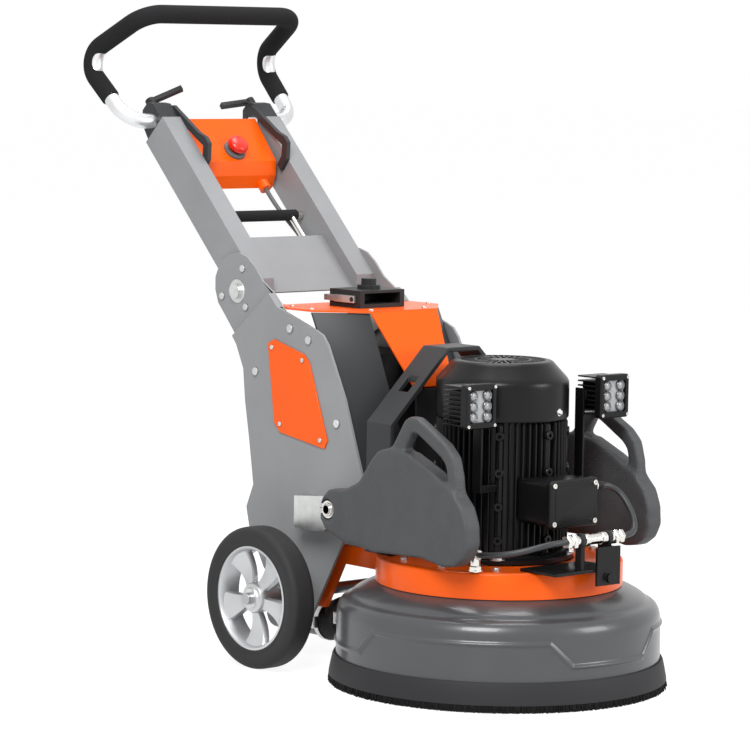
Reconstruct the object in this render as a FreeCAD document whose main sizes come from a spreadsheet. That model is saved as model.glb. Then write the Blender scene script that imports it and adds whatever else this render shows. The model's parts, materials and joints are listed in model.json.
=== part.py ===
import FreeCAD, Part
import math
import os

import Sketcher

# Walk-behind planetary concrete grinder, in millimetres.  +Z is up, the machine's front looks
# along -Y and the operator walks behind it, at +Y.  Every piece is drawn about the axis of the
# grinding head, at floor level, and is then moved along Y by head_offset, which puts the
# origin under the middle of the whole machine.
doc = FreeCAD.newDocument("concrete_grinder")
sheet = doc.addObject("Spreadsheet::Sheet", "dims")

DIMENSIONS = {
    # grinding head, seen from above
    "skirt_radius": 280, "skirt_neck_radius": 270, "skirt_wall": 5, "skirt_height": 46,
    "shroud_radius": 268, "shroud_rim_radius": 252, "shroud_wall": 4, "shroud_seam": 42,
    "shroud_shoulder": 138, "shroud_top": 168, "shroud_hole": 199,
    "housing_radius": 204, "housing_bore": 190, "housing_bottom": 140, "housing_top": 212,
    "housing_roof": 7, "roof_hole": 60,
    # planetary drive
    "gear_module": 3, "sun_teeth": 62, "planet_teeth": 28, "ring_teeth": 118,
    "gear_width": 18, "gear_bottom": 176, "tooth_play": 0.12,
    "race_bottom": 143, "race_height": 15, "race_split": 179, "race_seat": 168,
    "running_play": 0.05, "side_play": 0.4,
    "carrier_top": 160, "carrier_plate": 20, "boss_radius": 32, "boss_length": 65,
    "spindle_radius": 15, "planet_bearing_radius": 27, "planet_bearing_width": 13,
    "disc_radius": 115, "disc_plate": 14, "segment_height": 10, "flange_radius": 60,
    "flange_thickness": 14,
    # motor
    "motor_radius": 98, "motor_fin_radius": 108.5, "motor_wall": 8, "motor_top": 444,
    "fin_width": 3.4, "fin_count": 40,
    "shield_thickness": 16, "shaft_radius": 19, "motor_bearing_radius": 40,
    "stator_bore": 60, "stator_bottom": 272, "stator_height": 120,
    "air_gap": 0.6, "cover_radius": 110, "cover_wall": 2.5, "cover_shoulder": 507,
    "cover_top": 536, "cover_crown_radius": 81, "fan_radius": 92, "fan_bottom": 458,
    "fan_height": 30,
    # chassis
    "plate_outer": 150, "plate_thickness": 5, "bracket_outer": 139, "bracket_thickness": 4,
    "axle_back": 329, "axle_height": 120, "axle_radius": 10, "axle_half": 272,
    "wheel_outer": 265, "wheel_width": 50, "rim_radius": 87, "hub_radius": 24,
    "hood_top": 600, "hood_skin": 3,
    # handle
    "pivot_back": 523, "pivot_height": 619, "arm_outer": 134.6, "arm_width": 40,
    "arm_depth": 66, "arm_wall": 3, "arm_length": 366, "arm_angle": 45.4, "arm_front": 48,
    "clamp_length": 48, "bar_tube_radius": 13.5, "grip_radius": 16.5,
    "pivot_bolt_radius": 8,
    # front weights, lamps, lifting arch
    "weight_inner": 188, "weight_outer": 222, "weight_pivot_back": 185,
    "weight_pivot_height": 283, "pin_radius": 8,
    "lamp_width": 66, "lamp_height": 72, "lamp_depth": 60, "lamp_inner": 117,
    "lamp_front": 112, "lamp_middle": 476,
    "arch_back": 95, "arch_width": 60, "arch_thickness": 8, "arch_top": 549,
    # dust outlet
    "pipe_radius": 30, "pipe_wall": 3, "pipe_side": 70, "pipe_height": 62,
    "head_offset": -300,
}


class Size:
    """A length that knows its number and the spreadsheet formula that gives it."""

    def __init__(self, number, text):
        self.number = float(number)
        self.text = text

    def join(self, other, sign, number):
        return Size(number, "(%s %s %s)" % (self.text, sign, as_size(other).text))

    def __add__(self, other):
        return self.join(other, "+", self.number + float(other))

    def __sub__(self, other):
        return self.join(other, "-", self.number - float(other))

    def __mul__(self, other):
        return self.join(other, "*", self.number * float(other))

    def __truediv__(self, other):
        return self.join(other, "/", self.number / float(other))

    def __radd__(self, other):
        return as_size(other) + self

    def __rsub__(self, other):
        return as_size(other) - self

    def __rmul__(self, other):
        return as_size(other) * self

    def __neg__(self):
        return as_size(0) - self

    def __float__(self):
        return self.number


def as_size(value):
    return value if isinstance(value, Size) else Size(value, repr(float(value)))


class Sizes:
    """The spreadsheet's cells as attributes, such as dims.skirt_radius."""


dims = Sizes()
for row, (alias, value) in enumerate(DIMENSIONS.items(), start=1):
    sheet.set("A%d" % row, alias)
    sheet.set("B%d" % row, str(value))
    sheet.setAlias("B%d" % row, alias)
    setattr(dims, alias, Size(value, "dims.%s" % alias))
doc.recompute()

nodes = []
PLANES = {"XY": "XY_Plane", "XZ": "XZ_Plane", "YZ": "YZ_Plane"}
AXES = {"X": (0, 1, 0, 90), "Y": (1, 0, 0, -90), "Z": (0, 0, 1, 0)}


def bind(thing, **sizes):
    """Set properties from sizes: the number now and the formula for later changes."""
    for name, size in sizes.items():
        thing.setExpression(name.replace("_", "."), as_size(size).text)


def place(thing, x=0, y=0, z=0, axis="Z"):
    turn_x, turn_y, turn_z, angle = AXES[axis]
    turn = FreeCAD.Rotation(FreeCAD.Vector(turn_x, turn_y, turn_z), angle)
    thing.Placement = FreeCAD.Placement(FreeCAD.Vector(float(x), float(y), float(z)), turn)
    bind(thing, Placement_Base_x=x, Placement_Base_y=y, Placement_Base_z=z)
    return thing


def box(x0, x1, y0, y1, z0, z1):
    thing = doc.addObject("Part::Box", "box")
    bind(thing, Length=as_size(x1) - x0, Width=as_size(y1) - y0, Height=as_size(z1) - z0)
    return place(thing, x0, y0, z0)


def rod(radius, start, end, x=0, y=0, z=0, axis="Z"):
    """A round bar along an axis from start to end, at the other two coordinates."""
    thing = doc.addObject("Part::Cylinder", "rod")
    bind(thing, Radius=radius, Height=as_size(end) - start)
    spot = {"X": (start, y, z), "Y": (x, start, z), "Z": (x, y, start)}[axis]
    return place(thing, *spot, axis=axis)


def cone(radius_low, radius_high, start, end, x=0, y=0, axis="Z"):
    thing = doc.addObject("Part::Cone", "cone")
    bind(thing, Radius1=radius_low, Radius2=radius_high, Height=as_size(end) - start)
    return place(thing, x, y, start, axis)


def fuse(*things):
    joined = doc.addObject("Part::MultiFuse", "joined")
    joined.Shapes = list(things)
    return joined


def cut(base, *tools):
    result = doc.addObject("Part::Cut", "cut")
    result.Base = base
    result.Tool = tools[0] if len(tools) == 1 else fuse(*tools)
    return result


def pipe(outer, inner, start, end, x=0, y=0, z=0, axis="Z"):
    return cut(rod(outer, start, end, x, y, z, axis),
               rod(inner, as_size(start) - 1, as_size(end) + 1, x, y, z, axis))


def group(*things):
    together = doc.addObject("Part::Compound", "group")
    together.Links = list(things)
    return together


def mirror(thing):
    """The same piece on the machine's other side."""
    twin = doc.addObject("Part::Mirroring", "twin")
    twin.Source = thing
    twin.Normal = FreeCAD.Vector(1, 0, 0)
    return twin


def sketch_on(body, plane, points, offset=0):
    """A closed outline whose corners are held by the spreadsheet's sizes."""
    sketch = body.newObject("Sketcher::SketchObject", "outline")
    role = PLANES[plane]
    base = [feature for feature in body.Origin.OriginFeatures if feature.Role == role][0]
    sketch.AttachmentSupport = [(base, "")]
    sketch.MapMode = "FlatFace"
    bind(sketch, AttachmentOffset_Base_z=offset)
    corners = [FreeCAD.Vector(float(u), float(v), 0) for u, v in points]
    count = len(corners)
    for index in range(count):
        sketch.addGeometry(Part.LineSegment(corners[index], corners[(index + 1) % count]))
    for index in range(count):
        sketch.addConstraint(Sketcher.Constraint("Coincident", index, 2, (index + 1) % count, 1))
    for index, (u, v) in enumerate(points):
        for kind, size in (("DistanceX", u), ("DistanceY", v)):
            number = sketch.addConstraint(
                Sketcher.Constraint(kind, -1, 1, index, 1, float(size)))
            if isinstance(size, Size):
                sketch.setExpression("Constraints[%d]" % number, size.text)
    return sketch


def slab(plane, points, start, end):
    """A plate: an outline on a plane, from one height over that plane to another."""
    body = doc.addObject("PartDesign::Body", "plate")
    sketch = sketch_on(body, plane, points, start)
    pad = body.newObject("PartDesign::Pad", "pad")
    pad.Profile = sketch
    bind(pad, Length=as_size(end) - start)
    return body


def turned(points):
    """A piece turned about the head's axis from an outline of radius and height."""
    body = doc.addObject("PartDesign::Body", "turning")
    sketch = sketch_on(body, "XZ", points)
    spin = body.newObject("PartDesign::Revolution", "revolution")
    spin.Profile = sketch
    spin.ReferenceAxis = (sketch, ["V_Axis"])
    spin.Angle = 360
    return body


def made(shape):
    """A piece whose shape is worked out below, where no feature draws it."""
    thing = doc.addObject("Part::Feature", "shape")
    thing.Shape = shape
    return thing


def node(label, thing):
    """Give a finished piece its name and its place on the machine."""
    piece = group(thing)
    piece.Label = label
    place(piece, 0, dims.head_offset, 0)
    nodes.append(piece)


def both(half):
    """A piece and its mirror image."""
    return half, mirror(half)


def vector(x, y, z):
    return FreeCAD.Vector(float(x), float(y), float(z))


def loft(*sections):
    """A solid skinned straight between closed outlines of corner points."""
    wires = [Part.makePolygon([vector(*p) for p in section] + [vector(*section[0])])
             for section in sections]
    return Part.makeLoft(wires, True, True)


def bent_path(points, bend=None):
    """Straight runs joined by tangent arcs, as large as the shorter run allows."""
    spots = [vector(*point) for point in points]
    edges = []
    last = spots[0]
    for before, corner, after in zip(spots, spots[1:], spots[2:]):
        into = (corner - before).normalize()
        out = (after - corner).normalize()
        half_turn = into.getAngle(out) / 2
        run = min((corner - before).Length, (after - corner).Length)
        reach = 0.45 * run if bend is None else bend * math.tan(half_turn)
        radius = reach / math.tan(half_turn)
        start = corner - into * reach
        end = corner + out * reach
        towards = (out - into).normalize()
        centre = corner + towards * (radius / math.cos(half_turn))
        middle = centre - towards * radius
        if (start - last).Length > 1e-6:
            edges.append(Part.LineSegment(last, start).toShape())
        edges.append(Part.Arc(start, middle, end).toShape())
        last = end
    edges.append(Part.LineSegment(last, spots[-1]).toShape())
    return Part.Wire(edges)


def tube_along(points, radius, bend=None):
    """A round bar swept along a bent path, capped square at both ends."""
    path = bent_path(points, bend)
    first = vector(*points[0])
    heading = (vector(*points[1]) - first).normalize()
    ring = Part.Wire(Part.makeCircle(float(radius), first, heading))
    return path.makePipeShell([ring], True, True)


def cord(name, points, radius):
    """A cord's round sheath. Its arcs' radii and its volume, as a share of section times
    length, are printed."""
    path = bent_path(points)
    radii = [edge.Curve.Radius for edge in path.Edges if hasattr(edge.Curve, "Radius")]
    sheath = tube_along(points, radius)
    share = sheath.Volume / (math.pi * radius ** 2 * path.Length)
    print("%-14s %3.0f mm long, arc radii %s mm, volume share %.3f"
          % (name, path.Length, " ".join("%.0f" % size for size in radii), share))
    return sheath


# %% planetary drive -------------------------------------------------------------------------
PLANET_ANGLES = (90, 210, 330)
SEGMENTS = 6
PRESSURE = math.radians(20)


def involute(angle):
    return math.tan(angle) - angle


def gear_outline(teeth, rise, drop, play, turn):
    """Involute tooth flanks round a pitch circle: rise above it, drop below it."""
    pitch = teeth * float(dims.gear_module) / 2
    base = pitch * math.cos(PRESSURE)
    low = pitch - drop
    high = pitch + rise
    half_pitch_angle = math.pi / (2 * teeth) - play / pitch + involute(PRESSURE)
    radii = [max(low, base) + (high - max(low, base)) * step / 4 for step in range(5)]
    flank = [(radius, half_pitch_angle - involute(math.acos(base / radius)))
             for radius in radii]
    if low < base:
        flank.insert(0, (low, half_pitch_angle))
    corners = []
    for tooth in range(teeth):
        middle = 2 * math.pi * tooth / teeth + turn
        side = [(radius, middle - half) for radius, half in flank]
        side += [(radius, middle + half) for radius, half in reversed(flank)]
        corners += [vector(r * math.cos(a), r * math.sin(a), 0) for r, a in side]
    return Part.Face(Part.makePolygon(corners + [corners[0]]))


def gear(teeth, turn):
    module = float(dims.gear_module)
    return gear_outline(teeth, 0.95 * module, 1.25 * module, float(dims.tooth_play), turn)


def meshed_turn(teeth, other_teeth, other_turn, angle):
    """The turn that puts a planet's gap on the tooth it meets, seen along an angle."""
    other_phase = (angle - other_turn) * other_teeth / (2 * math.pi)
    phase = 0.5 - other_phase
    return angle + math.pi - phase * 2 * math.pi / teeth


sun_teeth = int(float(dims.sun_teeth))
planet_teeth = int(float(dims.planet_teeth))
ring_teeth = int(float(dims.ring_teeth))
centre_distance = (dims.sun_teeth + dims.planet_teeth) * dims.gear_module / 2
planet_turns = [meshed_turn(planet_teeth, sun_teeth, 0, math.radians(angle))
                for angle in PLANET_ANGLES]
first_angle = math.radians(PLANET_ANGLES[0])
planet_phase = (first_angle - planet_turns[0]) * planet_teeth / (2 * math.pi)
ring_turn = first_angle - planet_phase * 2 * math.pi / ring_teeth
gear_top = dims.gear_bottom + dims.gear_width


def raised(face, bottom, height):
    """A flat outline made a solid between two heights."""
    solid = face.extrude(vector(0, 0, height))
    solid.translate(vector(0, 0, bottom))
    return solid


def sun_gear():
    blank = raised(gear(sun_teeth, 0), dims.gear_bottom, dims.gear_width)
    bore = Part.makeCylinder(float(dims.shaft_radius), float(dims.gear_width) + 2,
                             vector(0, 0, dims.gear_bottom - 1))
    return blank.cut(bore)


def ring_gear():
    module = float(dims.gear_module)
    space = gear_outline(ring_teeth, 1.2 * module, 0.95 * module,
                         -float(dims.tooth_play), ring_turn)
    blank = Part.makeCylinder(float(dims.housing_bore), float(dims.gear_width),
                              vector(0, 0, dims.gear_bottom))
    return blank.cut(raised(space, dims.gear_bottom - 1, dims.gear_width + 2))


def planet_spindle(x, y, turn):
    """Pinion, shaft and tool flange in one forging."""
    pinion = raised(gear(planet_teeth, turn), dims.gear_bottom, dims.gear_width)
    flange_bottom = dims.disc_plate + dims.segment_height
    shaft_bottom = flange_bottom + dims.flange_thickness
    shaft = Part.makeCylinder(float(dims.spindle_radius), float(gear_top - shaft_bottom),
                              vector(0, 0, shaft_bottom))
    flange = Part.makeCylinder(float(dims.flange_radius), float(dims.flange_thickness),
                               vector(0, 0, flange_bottom))
    whole = pinion.fuse([shaft, flange]).removeSplitter()
    whole.translate(vector(x, y, 0))
    return whole


def grinding_disc(x, y):
    """A steel tool plate with a centring bore and a ring of diamond segments."""
    plate = pipe(dims.disc_radius, dims.spindle_radius, dims.segment_height,
                 dims.segment_height + dims.disc_plate, x, y)
    band = cut(rod(dims.disc_radius - 6, 0, dims.segment_height, x, y),
               rod(dims.disc_radius - 30, -1, dims.segment_height + 1, x, y))
    gaps = []
    for index in range(SEGMENTS // 2):
        gap = box(-dims.disc_radius, dims.disc_radius, -11, 11, -1, dims.segment_height)
        turn = FreeCAD.Rotation(vector(0, 0, 1), 180 * index / (SEGMENTS // 2))
        spun = group(gap)
        spun.Placement = FreeCAD.Placement(vector(x, y, 0), turn)
        bind(spun, Placement_Base_x=x, Placement_Base_y=y)
        gaps.append(spun)
    return fuse(plate, cut(band, *gaps))


def planet_spot(angle):
    """Where a planet's axis stands on the carrier."""
    turn = math.radians(angle)
    return centre_distance * math.cos(turn), centre_distance * math.sin(turn)


carrier_bottom = dims.carrier_top - dims.boss_length
bearing_levels = (carrier_bottom + 3, dims.carrier_top - dims.planet_bearing_width - 3)


def carrier():
    body = rod(dims.race_seat, dims.carrier_top - dims.carrier_plate, dims.carrier_top)
    bosses = []
    bores = [rod(dims.roof_hole / 2, 0, dims.housing_top)]
    for angle in PLANET_ANGLES:
        x, y = planet_spot(angle)
        bosses.append(rod(dims.boss_radius, carrier_bottom, dims.carrier_top, x, y))
        bores.append(rod(dims.spindle_radius + 3, 0, dims.housing_top, x, y))
        for level in bearing_levels:
            bores.append(rod(dims.planet_bearing_radius, level,
                             level + dims.planet_bearing_width, x, y))
    return cut(fuse(body, *bosses), *bores)


def planet_bearings():
    rings = []
    for angle in PLANET_ANGLES:
        x, y = planet_spot(angle)
        for level in bearing_levels:
            rings.append(pipe(dims.planet_bearing_radius,
                              dims.spindle_radius + dims.running_play, level,
                              level + dims.planet_bearing_width, x, y))
    return group(*rings)


node("sun_gear", made(sun_gear()))
node("ring_gear", made(ring_gear()))
node("carrier", carrier())
race_top = dims.race_bottom + dims.race_height
carrier_race = pipe(dims.race_split, dims.race_seat, dims.race_bottom, race_top)
housing_race = pipe(dims.housing_bore, dims.race_split + dims.running_play,
                    dims.race_bottom, race_top)
node("carrier_bearings", group(planet_bearings(), carrier_race))
for number, (angle, turn) in enumerate(zip(PLANET_ANGLES, planet_turns), start=1):
    spot_x, spot_y = planet_spot(angle)
    node("disc_spindle_%d" % number, made(planet_spindle(spot_x, spot_y, turn)))
    node("grinding_disc_%d" % number, grinding_disc(spot_x, spot_y))

# %% housing, shroud and skirt ---------------------------------------------------------------
node("gear_housing", turned([
    (dims.housing_bore, dims.housing_bottom),
    (dims.shroud_hole - dims.side_play, dims.housing_bottom),
    (dims.shroud_hole - dims.side_play, dims.shroud_top),
    (dims.housing_radius, dims.shroud_top),
    (dims.housing_radius, dims.housing_top),
    (dims.roof_hole, dims.housing_top),
    (dims.roof_hole, dims.housing_top - dims.housing_roof),
    (dims.housing_bore, dims.housing_top - dims.housing_roof)]))

port_height = dims.shroud_seam + dims.pipe_radius + 6
port_back = dims.shroud_radius + 8


def shroud():
    shell = turned([
        (dims.shroud_radius, dims.shroud_seam),
        (dims.shroud_radius - 1, dims.shroud_shoulder - 26),
        (dims.shroud_rim_radius + 10, dims.shroud_shoulder - 8),
        (dims.shroud_rim_radius, dims.shroud_shoulder + 4),
        (dims.shroud_rim_radius - 24, dims.shroud_top - 12),
        (dims.housing_radius + 4, dims.shroud_top),
        (dims.shroud_hole, dims.shroud_top),
        (dims.shroud_hole, dims.shroud_top - dims.shroud_wall),
        (dims.housing_radius + 3, dims.shroud_top - dims.shroud_wall),
        (dims.shroud_rim_radius - 25, dims.shroud_top - 12 - dims.shroud_wall),
        (dims.shroud_rim_radius - dims.shroud_wall, dims.shroud_shoulder),
        (dims.shroud_radius - 1 - dims.shroud_wall, dims.shroud_shoulder - 28),
        (dims.shroud_radius - dims.shroud_wall, dims.shroud_seam)])
    spout = rod(dims.pipe_radius, dims.shroud_radius - 22, port_back,
                -dims.pipe_side, 0, port_height, "Y")
    hollow = rod(dims.pipe_radius - dims.pipe_wall, dims.shroud_radius - 60, port_back + 1,
                 -dims.pipe_side, 0, port_height, "Y")
    return cut(fuse(shell, spout), hollow)


node("shroud", shroud())
node("floor_skirt", turned([
    (dims.skirt_radius - dims.skirt_wall, 0),
    (dims.skirt_radius, 0),
    (dims.skirt_radius, 12),
    (dims.skirt_neck_radius + dims.skirt_wall, dims.skirt_height),
    (dims.shroud_radius + 0.2, dims.skirt_height),
    (dims.shroud_radius + 0.2, dims.skirt_height - 5),
    (dims.skirt_radius - dims.skirt_wall, 14)]))

# %% motor -----------------------------------------------------------------------------------
frame_bore = dims.motor_radius - dims.motor_wall
shield_low = dims.housing_top + 8
shield_high = dims.motor_top - dims.shield_thickness


def motor_frame():
    """A cast barrel with a foot flange and upright cooling fins all round."""
    body = doc.addObject("PartDesign::Body", "barrel")
    sketch = sketch_on(body, "XZ", [
        (frame_bore, dims.housing_top),
        (dims.motor_fin_radius + 12, dims.housing_top),
        (dims.motor_fin_radius + 12, shield_low),
        (dims.motor_radius, shield_low),
        (dims.motor_radius, dims.motor_top),
        (frame_bore, dims.motor_top)])
    spin = body.newObject("PartDesign::Revolution", "revolution")
    spin.Profile = sketch
    spin.ReferenceAxis = (sketch, ["V_Axis"])
    spin.Angle = 360
    rib = sketch_on(body, "XY", [
        (dims.motor_radius - 2, -dims.fin_width / 2),
        (dims.motor_fin_radius, -dims.fin_width / 2),
        (dims.motor_fin_radius, dims.fin_width / 2),
        (dims.motor_radius - 2, dims.fin_width / 2)], shield_low - 1)
    fin = body.newObject("PartDesign::Pad", "fin")
    fin.Profile = rib
    bind(fin, Length=dims.motor_top - shield_low - 3)
    doc.recompute()
    fins = body.newObject("PartDesign::PolarPattern", "fins")
    fins.Originals = [fin]
    fins.Axis = (rib, ["N_Axis"])
    fins.Angle = 360
    bind(fins, Occurrences=dims.fin_count)
    body.Tip = fins
    return body


def fan_cover():
    shell = turned([
        (dims.cover_radius, dims.motor_top + 0.3),
        (dims.cover_radius, dims.cover_shoulder),
        (dims.cover_crown_radius, dims.cover_top),
        (0, dims.cover_top),
        (0, dims.cover_top - dims.cover_wall),
        (dims.cover_crown_radius - 2, dims.cover_top - dims.cover_wall),
        (dims.cover_radius - dims.cover_wall, dims.cover_shoulder - 1),
        (dims.cover_radius - dims.cover_wall, dims.motor_top + 0.3)])
    slots = []
    for index in range(12):
        slot = box(26, dims.cover_crown_radius - 8, -4, 4, dims.cover_top - 9,
                   dims.cover_top + 1)
        spun = group(slot)
        spun.Placement = FreeCAD.Placement(vector(0, 0, 0),
                                           FreeCAD.Rotation(vector(0, 0, 1), 30 * index))
        slots.append(spun)
    return cut(shell, *slots)


def rotor_shaft():
    shaft = rod(dims.shaft_radius, dims.gear_bottom - 6, dims.fan_bottom + dims.fan_height + 6)
    core = rod(dims.stator_bore - dims.air_gap, dims.stator_bottom,
               dims.stator_bottom + dims.stator_height)
    return fuse(shaft, core)


def motor_fan():
    hub = pipe(34, dims.shaft_radius, dims.fan_bottom, dims.fan_bottom + dims.fan_height)
    back = pipe(dims.fan_radius, 33, dims.fan_bottom, dims.fan_bottom + 3)
    blades = []
    for index in range(8):
        blade = box(32, dims.fan_radius - 4, -1.5, 1.5, dims.fan_bottom + 1,
                    dims.fan_bottom + dims.fan_height - 4)
        spun = group(blade)
        spun.Placement = FreeCAD.Placement(vector(0, 0, 0),
                                           FreeCAD.Rotation(vector(0, 0, 1), 45 * index))
        blades.append(spun)
    return fuse(hub, back, *blades)


def end_shield(bottom):
    ring = pipe(frame_bore, dims.motor_bearing_radius, bottom, bottom + dims.shield_thickness)
    return ring


def bearing(bottom):
    return pipe(dims.motor_bearing_radius, dims.shaft_radius + dims.running_play, bottom,
                bottom + dims.shield_thickness)


node("motor_frame", group(motor_frame(), end_shield(shield_low), end_shield(shield_high)))
node("fixed_bearings", group(bearing(shield_low), bearing(shield_high), housing_race))
node("stator_core", pipe(frame_bore, dims.stator_bore, dims.stator_bottom,
                         dims.stator_bottom + dims.stator_height))
node("rotor_and_fan", group(rotor_shaft(), motor_fan()))
node("fan_cover", fan_cover())

doc.recompute()

# %% terminal box, its lead and the coupling row ---------------------------------------------
BOX_SIDE = 52
BOX_FRONT = -168
BOX_LOW = 279
BOX_HIGH = 354
lead_radius = 5
coupling_radius = 9
COUPLING_BACK = -219
COUPLING_HEIGHT = 264
MOTOR_LEAD = [(71, -150, 338), (93, -150, 338), (111, -160, 329), (116, -176, 312),
              (113, -196, 290), (101, -212, 271), (82, -219, 264), (63, -219, 264)]
SUPPLY_HOSE = [(-63, -219, 264), (-82, -219, 264), (-107, -212, 260), (-133, -196, 252),
               (-153, -172, 246), (-160, -146, 242), (-160, -122, 240)]


def terminal_box():
    body = box(-BOX_SIDE, BOX_SIDE, BOX_FRONT, -90, BOX_LOW, BOX_HIGH)
    lid = box(-BOX_SIDE - 2, BOX_SIDE + 2, BOX_FRONT - 5, BOX_FRONT + 1, BOX_LOW - 2,
              BOX_HIGH + 2)
    hollow = box(-BOX_SIDE + 4, BOX_SIDE - 4, BOX_FRONT + 2, -122, BOX_LOW + 4, BOX_HIGH - 4)
    barrel = rod(dims.motor_fin_radius + 0.5, BOX_LOW - 10, BOX_HIGH + 10)
    return cut(fuse(body, lid), hollow, barrel)


def hose_fittings():
    """The box's cable gland and the row of couplings that the lead and hose screw into."""
    gland = fuse(rod(11, BOX_SIDE, BOX_SIDE + 12, 0, -150, 338, "X"),
                 rod(8, BOX_SIDE + 11, BOX_SIDE + 19, 0, -150, 338, "X"))
    row = [rod(coupling_radius, -44, 44, 0, COUPLING_BACK, COUPLING_HEIGHT, "X")]
    for low, high, radius in ((-63, -42, 12), (-24, -14, 11), (14, 24, 11), (42, 63, 12)):
        row.append(rod(radius, low, high, 0, COUPLING_BACK, COUPLING_HEIGHT, "X"))
    elbow = fuse(rod(9, dims.housing_top, 240, -160, -114, 0, "Z"),
                 rod(9, -122, -105, -160, 0, 240, "Y"))
    foot = box(-151, -100, -124, -104, dims.housing_top, dims.housing_top + 6)
    return group(gland, fuse(*row), fuse(elbow, foot))


node("terminal_box", terminal_box())
node("hose_fittings", hose_fittings())
node("motor_lead", made(cord("motor_lead", MOTOR_LEAD, lead_radius)))
node("supply_hose", made(cord("supply_hose", SUPPLY_HOSE, lead_radius)))


def front_bracket():
    """A bent plate over the housing's front edge, with a shelf under the couplings."""
    shelf = box(-96, 44, -232, -150, dims.housing_top, dims.housing_top + 5)
    clips = [box(x, x + 8, -226, -212, dims.housing_top + 4, COUPLING_HEIGHT - 9.5)
             for x in (-34, 26)]
    guard = box(-8, 44, -237, -232, dims.housing_top - 22, dims.housing_top + 40)
    gusset = box(38, 44, -233, -190, dims.housing_top, dims.housing_top + 38)
    nut = rod(8, -244, -236, 18, 0, dims.housing_top - 10, "Y")
    return fuse(shelf, guard, gusset, nut, *clips)



# %% chassis ---------------------------------------------------------------------------------
inner = dims.plate_outer - dims.plate_thickness
bracket_inner = dims.bracket_outer - dims.bracket_thickness
PLATE_OUTLINE = [
    (402, 600), (302, 569), (282, 561), (268, 545), (222, 457), (171, 320), (176, 300),
    (250, 170), (296, 92), (362, 92), (430, 150), (470, 214), (479, 250), (461, 290),
    (474, 370), (486, 433), (492, 488), (512, 528)]
BRACKET_OUTLINE = [
    (395, 594), (425, 622), (455, 640), (478, 664), (500, 680), (523, 686), (548, 682),
    (572, 667), (585, 640), (585, 618), (577, 596), (556, 574), (506, 520)]
STEP_OUTLINE = [(402, 600), (426, 622), (524, 542), (512, 528)]
pivot = (dims.pivot_back, dims.pivot_height)


def side_plate():
    plate = slab("YZ", PLATE_OUTLINE, inner, dims.plate_outer)
    bracket = slab("YZ", BRACKET_OUTLINE, bracket_inner, dims.bracket_outer)
    step = slab("YZ", STEP_OUTLINE, bracket_inner, dims.plate_outer)
    bolt_hole = rod(dims.pivot_bolt_radius + dims.running_play, bracket_inner - 1,
                    dims.bracket_outer + 1, 0, *pivot, "X")
    axle_hole = rod(dims.axle_radius, inner - 1, dims.plate_outer + 1, 0,
                    dims.axle_back, dims.axle_height, "X")
    window = slab("YZ", [(400, 520), (330, 500), (286, 394), (384, 412)],
                  inner - 1, dims.plate_outer + 1)
    return cut(fuse(plate, bracket, step), bolt_hole, axle_hole, window)


left, right = both(side_plate())
node("right_side_plate", left)
node("left_side_plate", right)

INSET_OUTLINE = [(423, 537), (407, 545), (327, 525), (313, 513), (263, 384), (271, 370),
                 (388, 387), (404, 403)]


def inset_panel():
    return slab("YZ", INSET_OUTLINE, dims.plate_outer, dims.plate_outer + 3)


node("inset_panels", group(*both(inset_panel())))

REAR_OUTLINE = [(502, 514), (489, 488), (483, 433), (471, 370), (458, 290), (476, 250),
                (471, 248), (453, 290), (466, 370), (478, 433), (484, 489), (498, 516)]
SWITCH_SIDE = -96
SWITCH_HEIGHT = 424


def rear_panel():
    """The closed back of the chassis, with the main switch's plate on it."""
    plate = box(SWITCH_SIDE - 34, SWITCH_SIDE + 34, 480, 491.7, SWITCH_HEIGHT - 38,
                SWITCH_HEIGHT + 38)
    return fuse(slab("YZ", REAR_OUTLINE, -inner, inner), plate)


node("rear_panel", rear_panel())


def lower_frame():
    """A welded fork from the axle to the grinding head, with a rear lashing loop."""
    top = dims.housing_top
    cheek = slab("YZ", [(120, 176), (255, 176), (300, 95), (360, 95), (375, 140), (330, 208),
                        (120, 208)], 112, 122)
    bore = rod(dims.axle_radius, 100, 130, 0, dims.axle_back, dims.axle_height, "X")
    deck = box(-122, 122, 120, 330, top - 12, top - 4)
    post = box(100, 122, 322, 342, top - 6, 300)
    ring = rod(dims.housing_radius, dims.housing_bottom, top + 10)
    loop = box(-inner, inner, 440, 452, 205, 225)
    arms = [box(122, 136, 322, 446, 196, 208), box(-136, -122, 322, 446, 196, 208),
            box(122, 136, 440, 452, 204, 212), box(-136, -122, 440, 452, 204, 212)]
    cheeks = both(cut(cheek, bore))
    return cut(fuse(*cheeks, deck, *both(post), loop, *arms), ring)


def axle():
    bar = rod(dims.axle_radius, -dims.axle_half, dims.axle_half, 0, dims.axle_back,
              dims.axle_height, "X")
    wheel_inner = dims.wheel_outer - dims.wheel_width
    collars = [rod(dims.axle_radius + 8, dims.plate_outer, wheel_inner - 6, 0,
                   dims.axle_back, dims.axle_height, "X"),
               rod(dims.axle_radius + 8, 6 - wheel_inner, -dims.plate_outer, 0,
                   dims.axle_back, dims.axle_height, "X")]
    return fuse(bar, *collars)


node("lower_frame", lower_frame())
node("axle", axle())

hub_start = dims.wheel_outer - dims.wheel_width - 5
hub_end = dims.wheel_outer - 6


def wheel_rod(radius, start, end):
    return rod(radius, start, end, 0, dims.axle_back, dims.axle_height, "X")


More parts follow.
